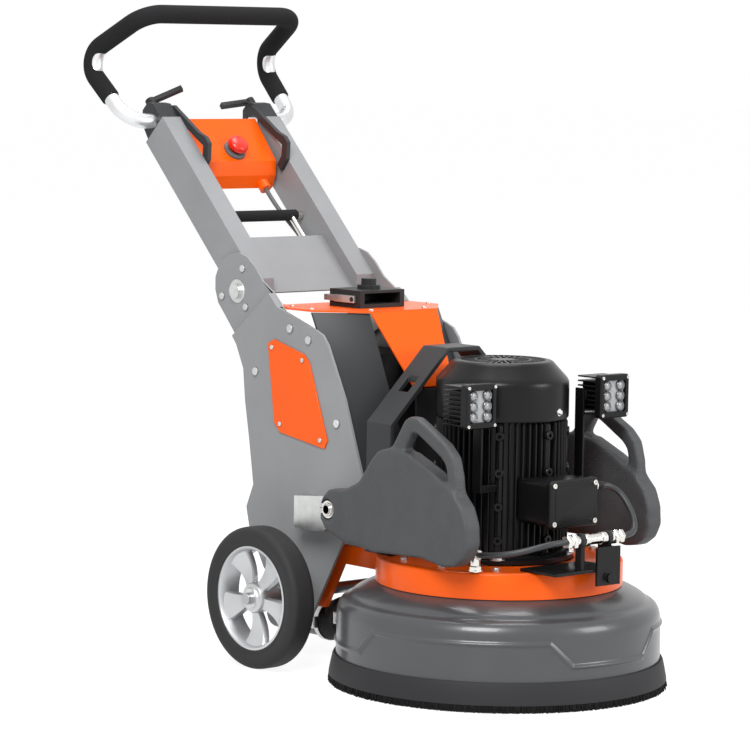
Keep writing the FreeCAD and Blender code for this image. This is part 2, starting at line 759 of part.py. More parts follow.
def tyre():
    tread = doc.addObject("PartDesign::Body", "tyre")
    outer = dims.axle_height
    low = dims.wheel_outer - dims.wheel_width
    sketch = sketch_on(tread, "XZ", [
        (low + 4, dims.rim_radius), (low, dims.rim_radius + 12), (low + 1, outer - 9),
        (low + 9, outer), (dims.wheel_outer - 9, outer), (dims.wheel_outer - 1, outer - 9),
        (dims.wheel_outer, dims.rim_radius + 12), (dims.wheel_outer - 4, dims.rim_radius)])
    spin = tread.newObject("PartDesign::Revolution", "revolution")
    spin.Profile = sketch
    spin.ReferenceAxis = (sketch, ["H_Axis"])
    spin.Angle = 360
    placed = group(tread)
    bind(placed, Placement_Base_y=dims.axle_back, Placement_Base_z=dims.axle_height)
    placed.Placement = FreeCAD.Placement(vector(0, *(dims.axle_back, dims.axle_height)),
                                         FreeCAD.Rotation())
    return placed


def rim():
    """A cast wheel: rim band, five broad spokes and a hub bored for two bearings."""
    low = dims.wheel_outer - dims.wheel_width + 4
    band = cut(wheel_rod(dims.rim_radius, low, dims.wheel_outer - 4),
               wheel_rod(dims.rim_radius - 9, low - 1, dims.wheel_outer))
    hub = wheel_rod(dims.hub_radius, hub_start, hub_end)
    spokes = []
    for index in range(5):
        spoke = box(dims.wheel_outer - 26, dims.wheel_outer - 12, -15, 15, 15,
                    dims.rim_radius - 5)
        spun = group(spoke)
        spun.Placement = FreeCAD.Placement(
            vector(0, dims.axle_back, dims.axle_height),
            FreeCAD.Rotation(vector(1, 0, 0), 72 * index))
        bind(spun, Placement_Base_y=dims.axle_back, Placement_Base_z=dims.axle_height)
        spokes.append(spun)
    bore = wheel_rod(dims.hub_radius - 7, hub_start - 1, hub_end + 1)
    return cut(fuse(band, hub, *spokes), bore)


def wheel_bearings():
    rings = [cut(wheel_rod(dims.hub_radius - 7, start, start + 12),
                 wheel_rod(dims.axle_radius + dims.running_play, start - 1, start + 13))
             for start in (hub_start, hub_end - 12)]
    return group(*rings)


for side, tyre_piece, rim_piece in zip(("right", "left"), both(tyre()), both(rim())):
    node(side + "_tyre", tyre_piece)
    node(side + "_rim", rim_piece)
node("wheel_bearings", group(*both(wheel_bearings())))

# %% hood, covers and what stands on them ----------------------------------------------------
hood_top = float(dims.hood_top)
skin = float(dims.hood_skin)
PROW_TOP = (75, 245)
PROW_LOW = (44, 167, 477)
COVER_TOP = (143, 306)
COVER_LOW = (143, 178, 330)


def hood():
    """The orange lid: a flat top behind, narrowing to a sloped prow."""
    edge = [(134, 440), (134, 392), (144, 386), (144, 318), PROW_TOP]
    edge += [(-x, y) for x, y in reversed(edge)]
    top = loft([(x, y, hood_top - skin) for x, y in edge], [(x, y, hood_top) for x, y in edge])
    x, y, z = PROW_LOW
    slope = loft([(-x, y, z), (x, y, z), (x, y + skin + 1, z), (-x, y + skin + 1, z)],
                 [(-PROW_TOP[0], PROW_TOP[1], hood_top - skin / 2),
                  (PROW_TOP[0], PROW_TOP[1], hood_top - skin / 2),
                  (PROW_TOP[0], PROW_TOP[1] + skin + 1, hood_top - skin / 2),
                  (-PROW_TOP[0], PROW_TOP[1] + skin + 1, hood_top - skin / 2)])
    return top.fuse(slope).removeSplitter()


def front_cover(side):
    """A dark panel from a side plate's front edge in to the prow, and down to the frame."""
    deep = 4
    x_top, y_top = PROW_TOP
    x_low, y_low, _ = PROW_LOW
    high = hood_top - skin - 1
    upper_x, upper_y = COVER_TOP
    lower_x, lower_y, lower_z = COVER_LOW
    low = [(side * (x_low - 2), y_low + 6, lower_z), (side * lower_x, lower_y, lower_z),
           (side * lower_x, lower_y + deep, lower_z),
           (side * (x_low - 2), y_low + 6 + deep, lower_z)]
    top = [(side * (x_top - 2), y_top + 6, high), (side * upper_x, upper_y + 12, high),
           (side * upper_x, upper_y + 12 + deep, high),
           (side * (x_top - 2), y_top + 6 + deep, high)]
    return loft(low, top)


def front_wall():
    x, y, z = PROW_LOW
    return Part.makeBox(2 * x - 12, 4, z - 4 - COVER_LOW[2], vector(6 - x, y + 1,
                                                                    COVER_LOW[2]))


node("hood", made(hood()))
node("front_covers", group(made(front_cover(-1)), made(front_cover(1)), made(front_wall())))


def drive_unit():
    """The frequency converter inside the chassis, with its heat sink."""
    case = box(-98, 98, 300, 420, 330, 520)
    fins = [box(x, x + 3, 419, 440, 335, 500) for x in range(-92, 93, 14)]
    feet = [box(-130, -96, 330, 350, 300, 334), box(96, 130, 330, 350, 300, 334)]
    return fuse(case, *fins, *feet)


node("drive_unit", drive_unit())

INLET_BACK = 338
INLET_TOP = hood_top + 30


def power_inlet():
    base = box(-50, 50, INLET_BACK - 36, INLET_BACK + 44, dims.hood_top, INLET_TOP)
    hollow = box(-40, 40, INLET_BACK - 44, INLET_BACK + 20, dims.hood_top + 7, INLET_TOP - 5)
    neck = rod(20, INLET_TOP - 1, INLET_TOP + 7, 0, INLET_BACK, 0)
    cap = rod(13, INLET_TOP + 6, INLET_TOP + 18, 0, INLET_BACK, 0)
    pegs = rod(4, -57, 57, 0, INLET_BACK - 20, hood_top + 15, "X")
    return cut(fuse(base, neck, cap, pegs), hollow)


def connector_bail():
    """A bent wire that swings over the inlet and locks a plug in it."""
    z = hood_top + 15
    arm = box(51, 56, INLET_BACK - 26, INLET_BACK + 26, z - 6, z + 6)
    eye = rod(4.05, 50, 57, 0, INLET_BACK - 20, z, "X")
    bridge = box(-56, 56, INLET_BACK + 46, INLET_BACK + 52, z - 5, z + 5)
    arm_long = box(51, 56, INLET_BACK + 20, INLET_BACK + 52, z - 5, z + 5)
    arms = both(cut(fuse(arm, arm_long), eye))
    return fuse(*arms, bridge)


node("power_inlet", power_inlet())
node("connector_bail", connector_bail())

# %% rear main switch ------------------------------------------------------------------------
def main_switch():
    collar = rod(22, 492, 499, SWITCH_SIDE, 0, SWITCH_HEIGHT, "Y")
    grip = box(SWITCH_SIDE - 20, SWITCH_SIDE + 20, 498, 512, SWITCH_HEIGHT - 6,
               SWITCH_HEIGHT + 6)
    return fuse(collar, grip)


node("main_switch", main_switch())

# %% lifting arch ----------------------------------------------------------------------------
ARCH_FOOT = 160
ARCH_KNEE_HEIGHT = 428
ARCH_CROWN = 36


def lifting_arch():
    """One bent strap: feet on the housing, upright legs, slanted shoulders, flat crown."""
    t = dims.arch_thickness
    top = dims.arch_top
    low = dims.housing_top
    strap = slab("XZ", [
        (-ARCH_FOOT, low), (-ARCH_FOOT, ARCH_KNEE_HEIGHT), (-ARCH_CROWN, top),
        (ARCH_CROWN, top), (ARCH_FOOT, ARCH_KNEE_HEIGHT), (ARCH_FOOT, low),
        (ARCH_FOOT - 38, low), (ARCH_FOOT - 38, low + t), (ARCH_FOOT - t, low + t),
        (ARCH_FOOT - t, ARCH_KNEE_HEIGHT - 4), (ARCH_CROWN - 4, top - t),
        (4 - ARCH_CROWN, top - t), (t - ARCH_FOOT, ARCH_KNEE_HEIGHT - 4),
        (t - ARCH_FOOT, low + t), (38 - ARCH_FOOT, low + t), (38 - ARCH_FOOT, low)],
        -dims.arch_back - dims.arch_width, -dims.arch_back)
    eye = box(-108, -84, dims.arch_back + 18, dims.arch_back + 42, 400, 560)
    return cut(strap, eye)


node("lifting_arch", lifting_arch())

# %% front weights ---------------------------------------------------------------------------
WEIGHT_OUTLINE = [
    (204, 286), (197, 303), (180, 318), (140, 322), (106, 338), (75, 378), (59, 394),
    (32, 401), (-15, 396), (-70, 373), (-118, 347), (-145, 322), (-157, 292), (-158, 262),
    (-147, 240), (-127, 226), (-100, 222), (-52, 230), (68, 226), (145, 234), (187, 248),
    (201, 266)]
HANDLE_OUTER = [(35, 392), (30, 406), (3, 448), (-8, 455), (-26, 455), (-95, 419),
                (-116, 399), (-126, 366), (-128, 334), (-106, 336)]
HANDLE_INNER = [(-103, 350), (-97, 384), (-86, 395), (-26, 429), (-15, 428), (4, 394)]
hanger_inner = dims.weight_inner - 12
pivot_spot = (dims.weight_pivot_back, dims.weight_pivot_height)


def weight():
    """One heavy casting with its own grab loop and a bored rear lug."""
    body = slab("YZ", WEIGHT_OUTLINE, dims.weight_inner, dims.weight_outer)
    loop = slab("YZ", HANDLE_OUTER + HANDLE_INNER, dims.weight_inner + 5,
                dims.weight_outer - 7)
    bore = rod(dims.pin_radius + dims.running_play, dims.weight_inner - 1,
               dims.weight_outer + 1, 0, *pivot_spot, "X")
    pocket = rod(17, dims.weight_outer - 14, dims.weight_outer + 1, 0, *pivot_spot, "X")
    latch = rod(6.05, dims.weight_inner - 1, dims.weight_inner + 14, 0, LATCH_BACK,
                LATCH_HEIGHT, "X")
    return cut(fuse(body, loop), bore, pocket, latch)


LATCH_BACK = 82
LATCH_HEIGHT = 268


def weight_hanger():
    """A zinc-plated ear bolted to the side plate, with the pin that its weight hangs on."""
    ear = slab("YZ", [(310, 236), (310, 290), (203, 300), (175, 300), (68, 282), (68, 254),
                      (185, 252), (250, 236)], hanger_inner, dims.weight_inner - 4)
    foot = slab("YZ", [(310, 236), (310, 290), (240, 290), (240, 236)],
                dims.plate_outer, hanger_inner + 1)
    latch_hole = rod(6.05, hanger_inner - 1, dims.weight_inner, 0, LATCH_BACK, LATCH_HEIGHT,
                     "X")
    pin = rod(dims.pin_radius, hanger_inner + 1, dims.weight_outer - 2, 0, *pivot_spot, "X")
    ring = rod(13, dims.weight_outer - 13, dims.weight_outer - 8, 0, *pivot_spot, "X")
    return cut(fuse(ear, foot, pin, ring), latch_hole)


def plunger():
    """An index bolt, drawn back, that slides through the ear into the weight's latch hole."""
    pin = rod(6, hanger_inner - 12, dims.weight_inner - 1.5, 0, LATCH_BACK, LATCH_HEIGHT, "X")
    knob = rod(10, hanger_inner - 20, hanger_inner - 11, 0, LATCH_BACK, LATCH_HEIGHT, "X")
    return fuse(pin, knob)


for side, piece in zip(("right", "left"), both(weight())):
    node(side + "_weight", piece)
node("weight_hangers", group(*both(weight_hanger())))
for side, piece in zip(("right", "left"), both(plunger())):
    node(side + "_plunger", piece)

# %% lamps -----------------------------------------------------------------------------------
lamp_front = -dims.lamp_front
lamp_pivot = (-dims.lamp_front + 46, dims.lamp_middle)


def lamp():
    outer = dims.lamp_inner + dims.lamp_width
    low = dims.lamp_middle - dims.lamp_height / 2
    high = dims.lamp_middle + dims.lamp_height / 2
    face = box(dims.lamp_inner, outer, lamp_front, lamp_front + 16, low, high)
    recess = box(dims.lamp_inner + 9, outer - 9, lamp_front - 1, lamp_front + 6, low + 9,
                 high - 9)
    core = box(dims.lamp_inner + 14, outer - 14, lamp_front + 15,
               lamp_front + dims.lamp_depth - 2, low + 16, high - 16)
    fins = [box(dims.lamp_inner + 4, outer - 4, lamp_front + 15,
                lamp_front + dims.lamp_depth, low + 4 + 10 * step, low + 7 + 10 * step)
            for step in range(7)]
    eye = box(dims.lamp_inner, dims.lamp_inner + 15, lamp_front + 38, lamp_front + 54,
              dims.lamp_middle - 8, dims.lamp_middle + 8)
    bore = rod(4.05, dims.lamp_inner - 1, dims.lamp_inner + 16, 0, *lamp_pivot, "X")
    return cut(fuse(face, core, *fins, eye), recess, bore)


def lamp_bracket():
    """A strap up from the motor flange with the lamp's tilt pin at its top."""
    strap = box(dims.lamp_inner - 4.6, dims.lamp_inner - 0.6, -76, -56, 330,
                dims.lamp_middle + 12)
    pin = rod(4, dims.lamp_inner - 2, dims.lamp_inner + 12, 0, *lamp_pivot, "X")
    arm = box(80, dims.lamp_inner - 1, -76, -56, 330, 342)
    barrel = rod(dims.motor_fin_radius + 0.1, 320, 350)
    return cut(fuse(strap, pin, arm), barrel)


for side, piece in zip(("right", "left"), both(lamp())):
    node(side + "_lamp", piece)
node("motor_brackets", group(front_bracket(), *both(lamp_bracket())))

# %% dust outlet -----------------------------------------------------------------------------
pipe_start = 352
pipe_end = 480


def dust_hose():
    """A short corrugated hose from the shroud's port down to the outlet pipe."""
    high = float(port_height)
    low = float(dims.pipe_height)
    side = -float(dims.pipe_side)
    start = float(port_back)
    route = [(side, start, high), (side, start + 25, high), (side, start + 52, low),
             (side, pipe_start, low)]
    outer = tube_along(route, float(dims.pipe_radius) + 4)
    return outer.cut(tube_along(route, float(dims.pipe_radius) - 4))


def dust_pipe():
    start = pipe_start
    return pipe(dims.pipe_radius, dims.pipe_radius - dims.pipe_wall, start, pipe_end,
                -dims.pipe_side, 0, dims.pipe_height, "Y")


def pipe_stay():
    """A strap that hangs the outlet pipe from the lower frame's cross bar."""
    strap = box(-dims.pipe_side - 10, -dims.pipe_side + 10, 442, 450,
                dims.pipe_height + dims.pipe_radius - 2, 205)
    return strap


node("dust_outlet", group(made(dust_hose()), fuse(dust_pipe(), pipe_stay())))

# %% handle: drawn upright on its pivot, then leaned back --------------------------------------
arm_inner = dims.arm_outer - dims.arm_width
arm_rear = dims.arm_depth - dims.arm_front
clamp_low = dims.arm_length
clamp_axis_along = dims.arm_length + 14
CLAMP_AXIS_ACROSS = -22


def lean(thing):
    """Tip a piece that is drawn upright on the pivot back to the arms' angle."""
    leaned = group(thing)
    leaned.Placement = FreeCAD.Placement(
        vector(0, dims.pivot_back, dims.pivot_height),
        FreeCAD.Rotation(vector(-1, 0, 0), 90 - float(dims.arm_angle)))
    leaned.setExpression("Placement.Rotation.Angle", "90 - dims.arm_angle")
    bind(leaned, Placement_Base_y=dims.pivot_back, Placement_Base_z=dims.pivot_height)
    return group(leaned)


def handle_frame():
    """Two box-section arms joined by a welded panel, bored for the pivot bolts."""
    arm = slab("YZ", [(-dims.arm_front, -14), (-dims.arm_front + 16, -30), (arm_rear - 10, -30),
                      (arm_rear, -20), (arm_rear, dims.arm_length),
                      (-dims.arm_front, dims.arm_length)], arm_inner, dims.arm_outer)
    wall = dims.arm_wall
    hollow = slab("YZ", [(-dims.arm_front + wall, 30), (arm_rear - wall, 30),
                         (arm_rear - wall, dims.arm_length - wall),
                         (-dims.arm_front + wall, dims.arm_length - wall)],
                  arm_inner + wall, dims.arm_outer - wall)
    bolt = rod(dims.pivot_bolt_radius + dims.running_play, arm_inner - 1,
               dims.arm_outer + 1, 0, 0, 0, "X")
    small_hole = rod(4, dims.arm_outer - 10, dims.arm_outer + 1, 0, 2, 66, "X")
    panel = box(-arm_inner - 1, arm_inner + 1, -25, -22, -27, 99)
    guide = cut(box(RELEASE_LEG - 11, RELEASE_LEG + 11, -22.5, 2, 62, 92),
                rod(RELEASE_ROD + dims.running_play, 60, 94, RELEASE_LEG, RELEASE_ACROSS, 0))
    cleat = box(80, arm_inner + 1, 4, 20, 84, 104)
    return fuse(*both(cut(arm, hollow, bolt, small_hole)), panel, *both(guide), cleat)


RELEASE_LEG = 66
RELEASE_ROD = 6
RELEASE_ACROSS = -10
RELEASE_ALONG = 161


def release_bar():
    """A sleeved cross bar on two rods: pulled up the arms, it frees the handle's lock."""
    sleeve = rod(10, -78, 78, 0, RELEASE_ACROSS, RELEASE_ALONG, "X")
    ends = rod(6.5, -90, 90, 0, RELEASE_ACROSS, RELEASE_ALONG, "X")
    legs = both(rod(RELEASE_ROD, 50, RELEASE_ALONG, RELEASE_LEG, RELEASE_ACROSS, 0))
    return fuse(sleeve, ends, *legs)


BOX_HALF = 85
BOX_OUTLINE = [(-38, 370), (-30, 274), (-11, 256), (12, 246), (18, 262), (18, 370)]
STOP_ALONG = 298
STOP_FACE = -32


def control_box():
    case = slab("YZ", BOX_OUTLINE, -BOX_HALF, BOX_HALF)
    hollow = slab("YZ", [(-34, 366), (-27, 276), (-9, 259), (12, 250), (15, 263), (15, 366)],
                  3 - BOX_HALF, BOX_HALF - 3)
    collar = rod(20, STOP_FACE - 3, STOP_FACE + 6, 0, 0, STOP_ALONG, "Y")
    bore = rod(10, STOP_FACE - 10, STOP_FACE + 16, 0, 0, STOP_ALONG, "Y")
    gland = rod(11, 236, 252, 60, 4, 0)
    return cut(fuse(cut(case, hollow), collar, gland), bore)


def stop_button():
    stem = rod(9.9, STOP_FACE - 14, STOP_FACE + 14, 0, 0, STOP_ALONG, "Y")
    head = rod(19, STOP_FACE - 24, STOP_FACE - 10, 0, 0, STOP_ALONG, "Y")
    return fuse(stem, head)


CONTROL_CABLE = [(60, 4, 236), (60, 4, 208), (67, 7, 180), (78, 11, 154), (84, 12, 130),
                 (84, 12, 104)]
GUARD_OUTER = [(-26, 404), (-46, 396), (-66, 312), (-75, 292), (-74, 278), (-52, 258),
               (-26, 254)]
GUARD_INNER = [(-26, 268), (-46, 272), (-61, 285), (-54, 310), (-38, 378), (-26, 384)]


def handle_fittings():
    """The two loop guards beside the box and the split clamps that hold the bar."""
    guard = slab("YZ", GUARD_OUTER + GUARD_INNER, BOX_HALF + 1, arm_inner)
    top = clamp_low + dims.clamp_length
    block = slab("YZ", [(-dims.arm_front + 4, clamp_low), (arm_rear - 8, clamp_low),
                        (arm_rear - 14, top - 18), (-14, top), (-34, top),
                        (-dims.arm_front + 4, top - 12)], arm_inner, dims.arm_outer)
    bore = rod(dims.bar_tube_radius + dims.running_play, arm_inner - 1, dims.arm_outer + 1, 0,
               CLAMP_AXIS_ACROSS, clamp_axis_along, "X")
    screw = rod(4.05, top - 14, top + 1, LEVER_SIDE, CLAMP_AXIS_ACROSS, 0)
    return group(*both(fuse(guard, cut(block, bore, screw))))


LEVER_SIDE = 114


def clamp_lever(side, swing):
    """A threaded stud with a cranked hand lever."""
    top = float(clamp_low + dims.clamp_length)
    stud = rod(4, top - 12, top + 2, 0, 0)
    hub = rod(9, top + 1, top + 17, 0, 0)
    grip = box(0, 62, -5, 5, top + 8, top + 17)
    spun = group(fuse(stud, hub, grip))
    spun.Placement = FreeCAD.Placement(vector(side * LEVER_SIDE, CLAMP_AXIS_ACROSS, 0),
                                       FreeCAD.Rotation(vector(0, 0, 1), swing))
    return spun


node("handle_frame", lean(handle_frame()))
node("control_box", lean(control_box()))
node("handle_fittings", lean(handle_fittings()))
node("control_cable", lean(made(cord("control_cable", CONTROL_CABLE, 4))))
node("release_bar", lean(release_bar()))
node("stop_button", lean(stop_button()))
node("right_clamp_lever", lean(clamp_lever(1, 170)))
node("left_clamp_lever", lean(clamp_lever(-1, -35)))

# %% handlebar -------------------------------------------------------------------------------
lean_angle = math.radians(float(dims.arm_angle))
clamp_back = (float(dims.pivot_back) + float(clamp_axis_along) * math.cos(lean_angle)
              + CLAMP_AXIS_ACROSS * math.sin(lean_angle))
clamp_height = (float(dims.pivot_height) + float(clamp_axis_along) * math.sin(lean_angle)
                - CLAMP_AXIS_ACROSS * math.cos(lean_angle))
BAR_BEND = 45
BAR_CORNERS = [(190, 0, 0), (203, 117, 108), (172, -25, 189)]
GRIP_START = 0.36


def bar_corner(corner, side=1):
    x, back, up = corner
    return side * x, clamp_back + back, clamp_height + up


def bar_route(first):
    """One side's corners and then the other's, from the first point given."""
    near = [first] + BAR_CORNERS
    return ([bar_corner(corner) for corner in near]
            + [bar_corner(corner, -1) for corner in reversed(near)])


def handlebar_tube():
    route = bar_route((float(arm_inner), 0, 0))
    outer = tube_along(route, float(dims.bar_tube_radius), BAR_BEND)
    return outer.cut(tube_along(route, float(dims.bar_tube_radius) - 2.5, BAR_BEND))


def handlebar_grip():
    low, high = BAR_CORNERS[0], BAR_CORNERS[1]
    start = tuple(a + (b - a) * GRIP_START for a, b in zip(low, high))
    route = [bar_corner(corner) for corner in [start] + BAR_CORNERS[1:]]
    route += [bar_corner(corner, -1) for corner in reversed([start] + BAR_CORNERS[1:])]
    outer = tube_along(route, float(dims.grip_radius), BAR_BEND)
    return outer.cut(tube_along(route, float(dims.bar_tube_radius), BAR_BEND))


node("handlebar_tube", made(handlebar_tube()))
node("handlebar_grip", made(handlebar_grip()))

# %% bolts and screws ------------------------------------------------------------------------
PLATE_BOLTS = [(365, 566), (316, 550), (456, 486), (240, 416)]
INSET_SCREWS = [(410, 531), (329, 515), (386, 402), (280, 384)]
BRACKET_BOLTS = [(563, 608), (508, 659), (498, 593)]


def bolt_heads():
    heads = []
    for y, z in PLATE_BOLTS:
        heads.append(rod(7, dims.plate_outer, dims.plate_outer + 4, 0, y, z, "X"))
    for y, z in INSET_SCREWS:
        heads.append(rod(4, dims.plate_outer + 3, dims.plate_outer + 5.5, 0, y, z, "X"))
    for y, z in BRACKET_BOLTS:
        heads.append(rod(6, dims.bracket_outer, dims.bracket_outer + 4, 0, y, z, "X"))
    pairs = []
    for head in heads:
        pairs += both(head)
    return group(*pairs)


def pivot_bolt():
    shank = rod(dims.pivot_bolt_radius, arm_inner - 2, dims.bracket_outer + 2, 0,
                dims.pivot_back, dims.pivot_height, "X")
    head = rod(13, dims.bracket_outer, dims.bracket_outer + 9, 0, dims.pivot_back,
               dims.pivot_height, "X")
    return fuse(shank, head)


node("chassis_bolts", group(bolt_heads(), *both(pivot_bolt())))

# %% check and write -------------------------------------------------------------------------
doc.recompute()
for thing in doc.Objects:
    if "Invalid" in thing.State or "Error" in thing.State:
        raise RuntimeError("%s (%s) failed" % (thing.Name, thing.Label))
for piece in nodes:
    if piece.Shape.isNull() or not piece.Shape.isValid():
        raise RuntimeError("%s has no valid shape" % piece.Label)

os.makedirs("parts", exist_ok=True)
for piece in nodes:
    piece.Shape.exportStep("parts/%s.step" % piece.Label)
    shape_box = piece.Shape.BoundBox
    print("%-24s %2d solids %9.1f cm3  x %6.1f..%6.1f  y %6.1f..%6.1f  z %6.1f..%6.1f" % (
        piece.Label, len(piece.Shape.Solids), piece.Shape.Volume / 1000,
        shape_box.XMin, shape_box.XMax, shape_box.YMin, shape_box.YMax, shape_box.ZMin,
        shape_box.ZMax))
print(len(nodes), "nodes")
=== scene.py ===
# %% [markdown]
# # A walk-behind floor grinder
# The machine grinds concrete with three discs that turn under a round hood. Its
# frame is already settled: every load-carrying piece comes from the CAD model at
# its real size. This lesson dresses that frame. It gives each piece the finish it
# has in the workshop, and models the shells, castings and rubber parts again as
# smooth surfaces where the plain CAD shape isn't enough.

# %% Load the frame
import json
import math

import bmesh
import bpy
import numpy as np
from mathutils import Matrix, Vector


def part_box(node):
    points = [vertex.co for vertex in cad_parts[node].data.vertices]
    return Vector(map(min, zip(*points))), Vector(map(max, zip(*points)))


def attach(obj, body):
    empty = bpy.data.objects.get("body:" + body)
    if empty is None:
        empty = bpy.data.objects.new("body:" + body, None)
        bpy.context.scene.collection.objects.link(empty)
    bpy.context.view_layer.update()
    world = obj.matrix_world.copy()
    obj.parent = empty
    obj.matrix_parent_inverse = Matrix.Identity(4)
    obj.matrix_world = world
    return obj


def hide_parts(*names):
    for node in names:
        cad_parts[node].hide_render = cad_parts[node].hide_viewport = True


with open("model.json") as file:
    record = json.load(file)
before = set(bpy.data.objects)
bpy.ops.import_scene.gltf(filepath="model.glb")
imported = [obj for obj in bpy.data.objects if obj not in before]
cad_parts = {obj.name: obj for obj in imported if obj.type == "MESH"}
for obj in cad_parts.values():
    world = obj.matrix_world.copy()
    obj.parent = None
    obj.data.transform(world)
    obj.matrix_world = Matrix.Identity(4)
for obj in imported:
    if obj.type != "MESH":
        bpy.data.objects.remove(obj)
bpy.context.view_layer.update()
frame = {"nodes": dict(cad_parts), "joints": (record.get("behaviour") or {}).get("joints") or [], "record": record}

HEAD = -0.300   # where the grinding head's upright axis stands along Y
BODY_OF = {node: body for body, nodes in frame["record"]["behaviour"]["bodies"].items()
           for node in nodes}

# %% [markdown]
# ## Camera
# A long lens far away keeps upright edges nearly parallel, as in a catalogue
# picture. The three turns are worked out as a right, an up and a forward
# direction, and those are the columns of the camera's matrix.

# %% Camera
LENS = 163.2
STANDS_AT = (-3.8227, -4.3407, 1.0515)
TURN, TIP, ROLL = -0.7214, 0.0964, 0.0155
SENSOR, SHIFT = 36, -0.0066


def aim(turn, tip, roll):
    """Right, up and forward: forward is turned about Z, tipped down, then rolled."""
    level = np.array([-math.sin(turn), math.cos(turn), 0])
    side = np.array([math.cos(turn), math.sin(turn), 0])
    up = np.array([0, 0, 1.0])
    forward = level * math.cos(tip) - up * math.sin(tip)
    over = up * math.cos(tip) + level * math.sin(tip)
    return (side * math.cos(roll) + over * math.sin(roll),
            over * math.cos(roll) - side * math.sin(roll), forward)


def add_camera():
    """The matrix's columns are right, up and backwards: a camera looks along its -Z."""
    right, up, forward = aim(TURN, TIP, ROLL)
    data = bpy.data.cameras.new("camera")
    data.lens = LENS
    data.sensor_width = SENSOR
    data.shift_x = SHIFT
    camera = bpy.data.objects.new("camera", data)
    bpy.context.scene.collection.objects.link(camera)
    turned = Matrix(np.column_stack([right, up, -forward]).tolist()).to_4x4()
    camera.matrix_world = Matrix.Translation(STANDS_AT) @ turned
    bpy.context.scene.camera = camera


add_camera()
print("camera at", STANDS_AT, "lens", LENS)

# %% [markdown]
# ## Finishes
# Nearly every finish here is a paint, a rubber or a bare metal: one base colour,
# a little mottled, with a fine grain that catches the light. So one function makes
# them all. The large noise moves the colour and the gloss a few percent, the fine
# noise drives the bump, and all of it reads Object coordinates, so that it stays
# put on the piece.

# %% Finish maker
SHADES = {}


def finish(name, colour, rough, metal=0.0, mottle=0.06, mottle_scale=9.0, grain=900.0,
           bump=0.05, depth=0.0003, coat=0.0, glint=0.4):
    """A Principled shader: colour times 1 +- mottle, gloss +- mottle, noise for bump."""
    material = bpy.data.materials.new(name)
    material.use_nodes = True
    tree = material.node_tree
    shader = tree.nodes["Principled BSDF"]
    place = tree.nodes.new("ShaderNodeTexCoord")
    clouds = tree.nodes.new("ShaderNodeTexNoise")
    clouds.inputs["Scale"].default_value = mottle_scale
    clouds.inputs["Detail"].default_value = 6
    ramp = tree.nodes.new("ShaderNodeValToRGB")
    ramp.color_ramp.elements[0].position = 0.3
    ramp.color_ramp.elements[1].position = 0.7
    ramp.color_ramp.elements[0].color = [c * (1 - mottle) for c in colour] + [1]
    ramp.color_ramp.elements[1].color = [min(c * (1 + mottle), 1) for c in colour] + [1]
    gloss = tree.nodes.new("ShaderNodeMapRange")
    gloss.inputs["To Min"].default_value = rough * (1 - 2 * mottle)
    gloss.inputs["To Max"].default_value = min(rough * (1 + 2 * mottle), 1)
    fine = tree.nodes.new("ShaderNodeTexNoise")
    fine.inputs["Scale"].default_value = grain
    fine.inputs["Detail"].default_value = 3
    relief = tree.nodes.new("ShaderNodeBump")
    relief.inputs["Strength"].default_value = bump
    relief.inputs["Distance"].default_value = depth
    for noise in (clouds, fine):
        tree.links.new(place.outputs["Object"], noise.inputs["Vector"])
    tree.links.new(clouds.outputs["Fac"], ramp.inputs["Fac"])
    tree.links.new(clouds.outputs["Fac"], gloss.inputs["Value"])
    tree.links.new(fine.outputs["Fac"], relief.inputs["Height"])
    tree.links.new(ramp.outputs["Color"], shader.inputs["Base Color"])
    tree.links.new(gloss.outputs["Result"], shader.inputs["Roughness"])
    tree.links.new(relief.outputs["Normal"], shader.inputs["Normal"])
    shader.inputs["Metallic"].default_value = metal
    shader.inputs["Coat Weight"].default_value = coat
    shader.inputs["Specular IOR Level"].default_value = glint
    SHADES[name] = material
    return material


print("finish maker ready")

# %% [markdown]
# ## The paints, rubbers and metals
# Powder coat has a faint orange-peel bump. The weights and the hood over the discs
# are cast or pressed and sprayed dark grey, and the weights keep their sand-cast
# grain. The motor is black enamel. The bare metals differ in how smooth they are:
# zinc plate is dull and cloudy, nickel is bright, the bar's aluminium is satin.

# %% Paints
finish("grey_paint", (0.262, 0.267, 0.276), 0.42, grain=420, bump=0.12, glint=0.35)
finish("orange_paint", (0.90, 0.108, 0.002), 0.34, grain=420, bump=0.10, coat=0.12,
       mottle=0.03, glint=0.2)
finish("dark_cover", (0.028, 0.029, 0.031), 0.42, grain=800, bump=0.10, glint=0.28)
finish("shroud_grey", (0.070, 0.072, 0.076), 0.30, metal=0.2, grain=1400, bump=0.05,
       coat=0.2)
finish("cast_weight", (0.056, 0.058, 0.061), 0.50, grain=330, bump=1.0, depth=0.0011,
       mottle=0.10, mottle_scale=30, glint=0.35)
finish("motor_black", (0.0055, 0.0055, 0.006), 0.30, grain=700, bump=0.12, glint=0.22)
print("paints", len(SHADES))

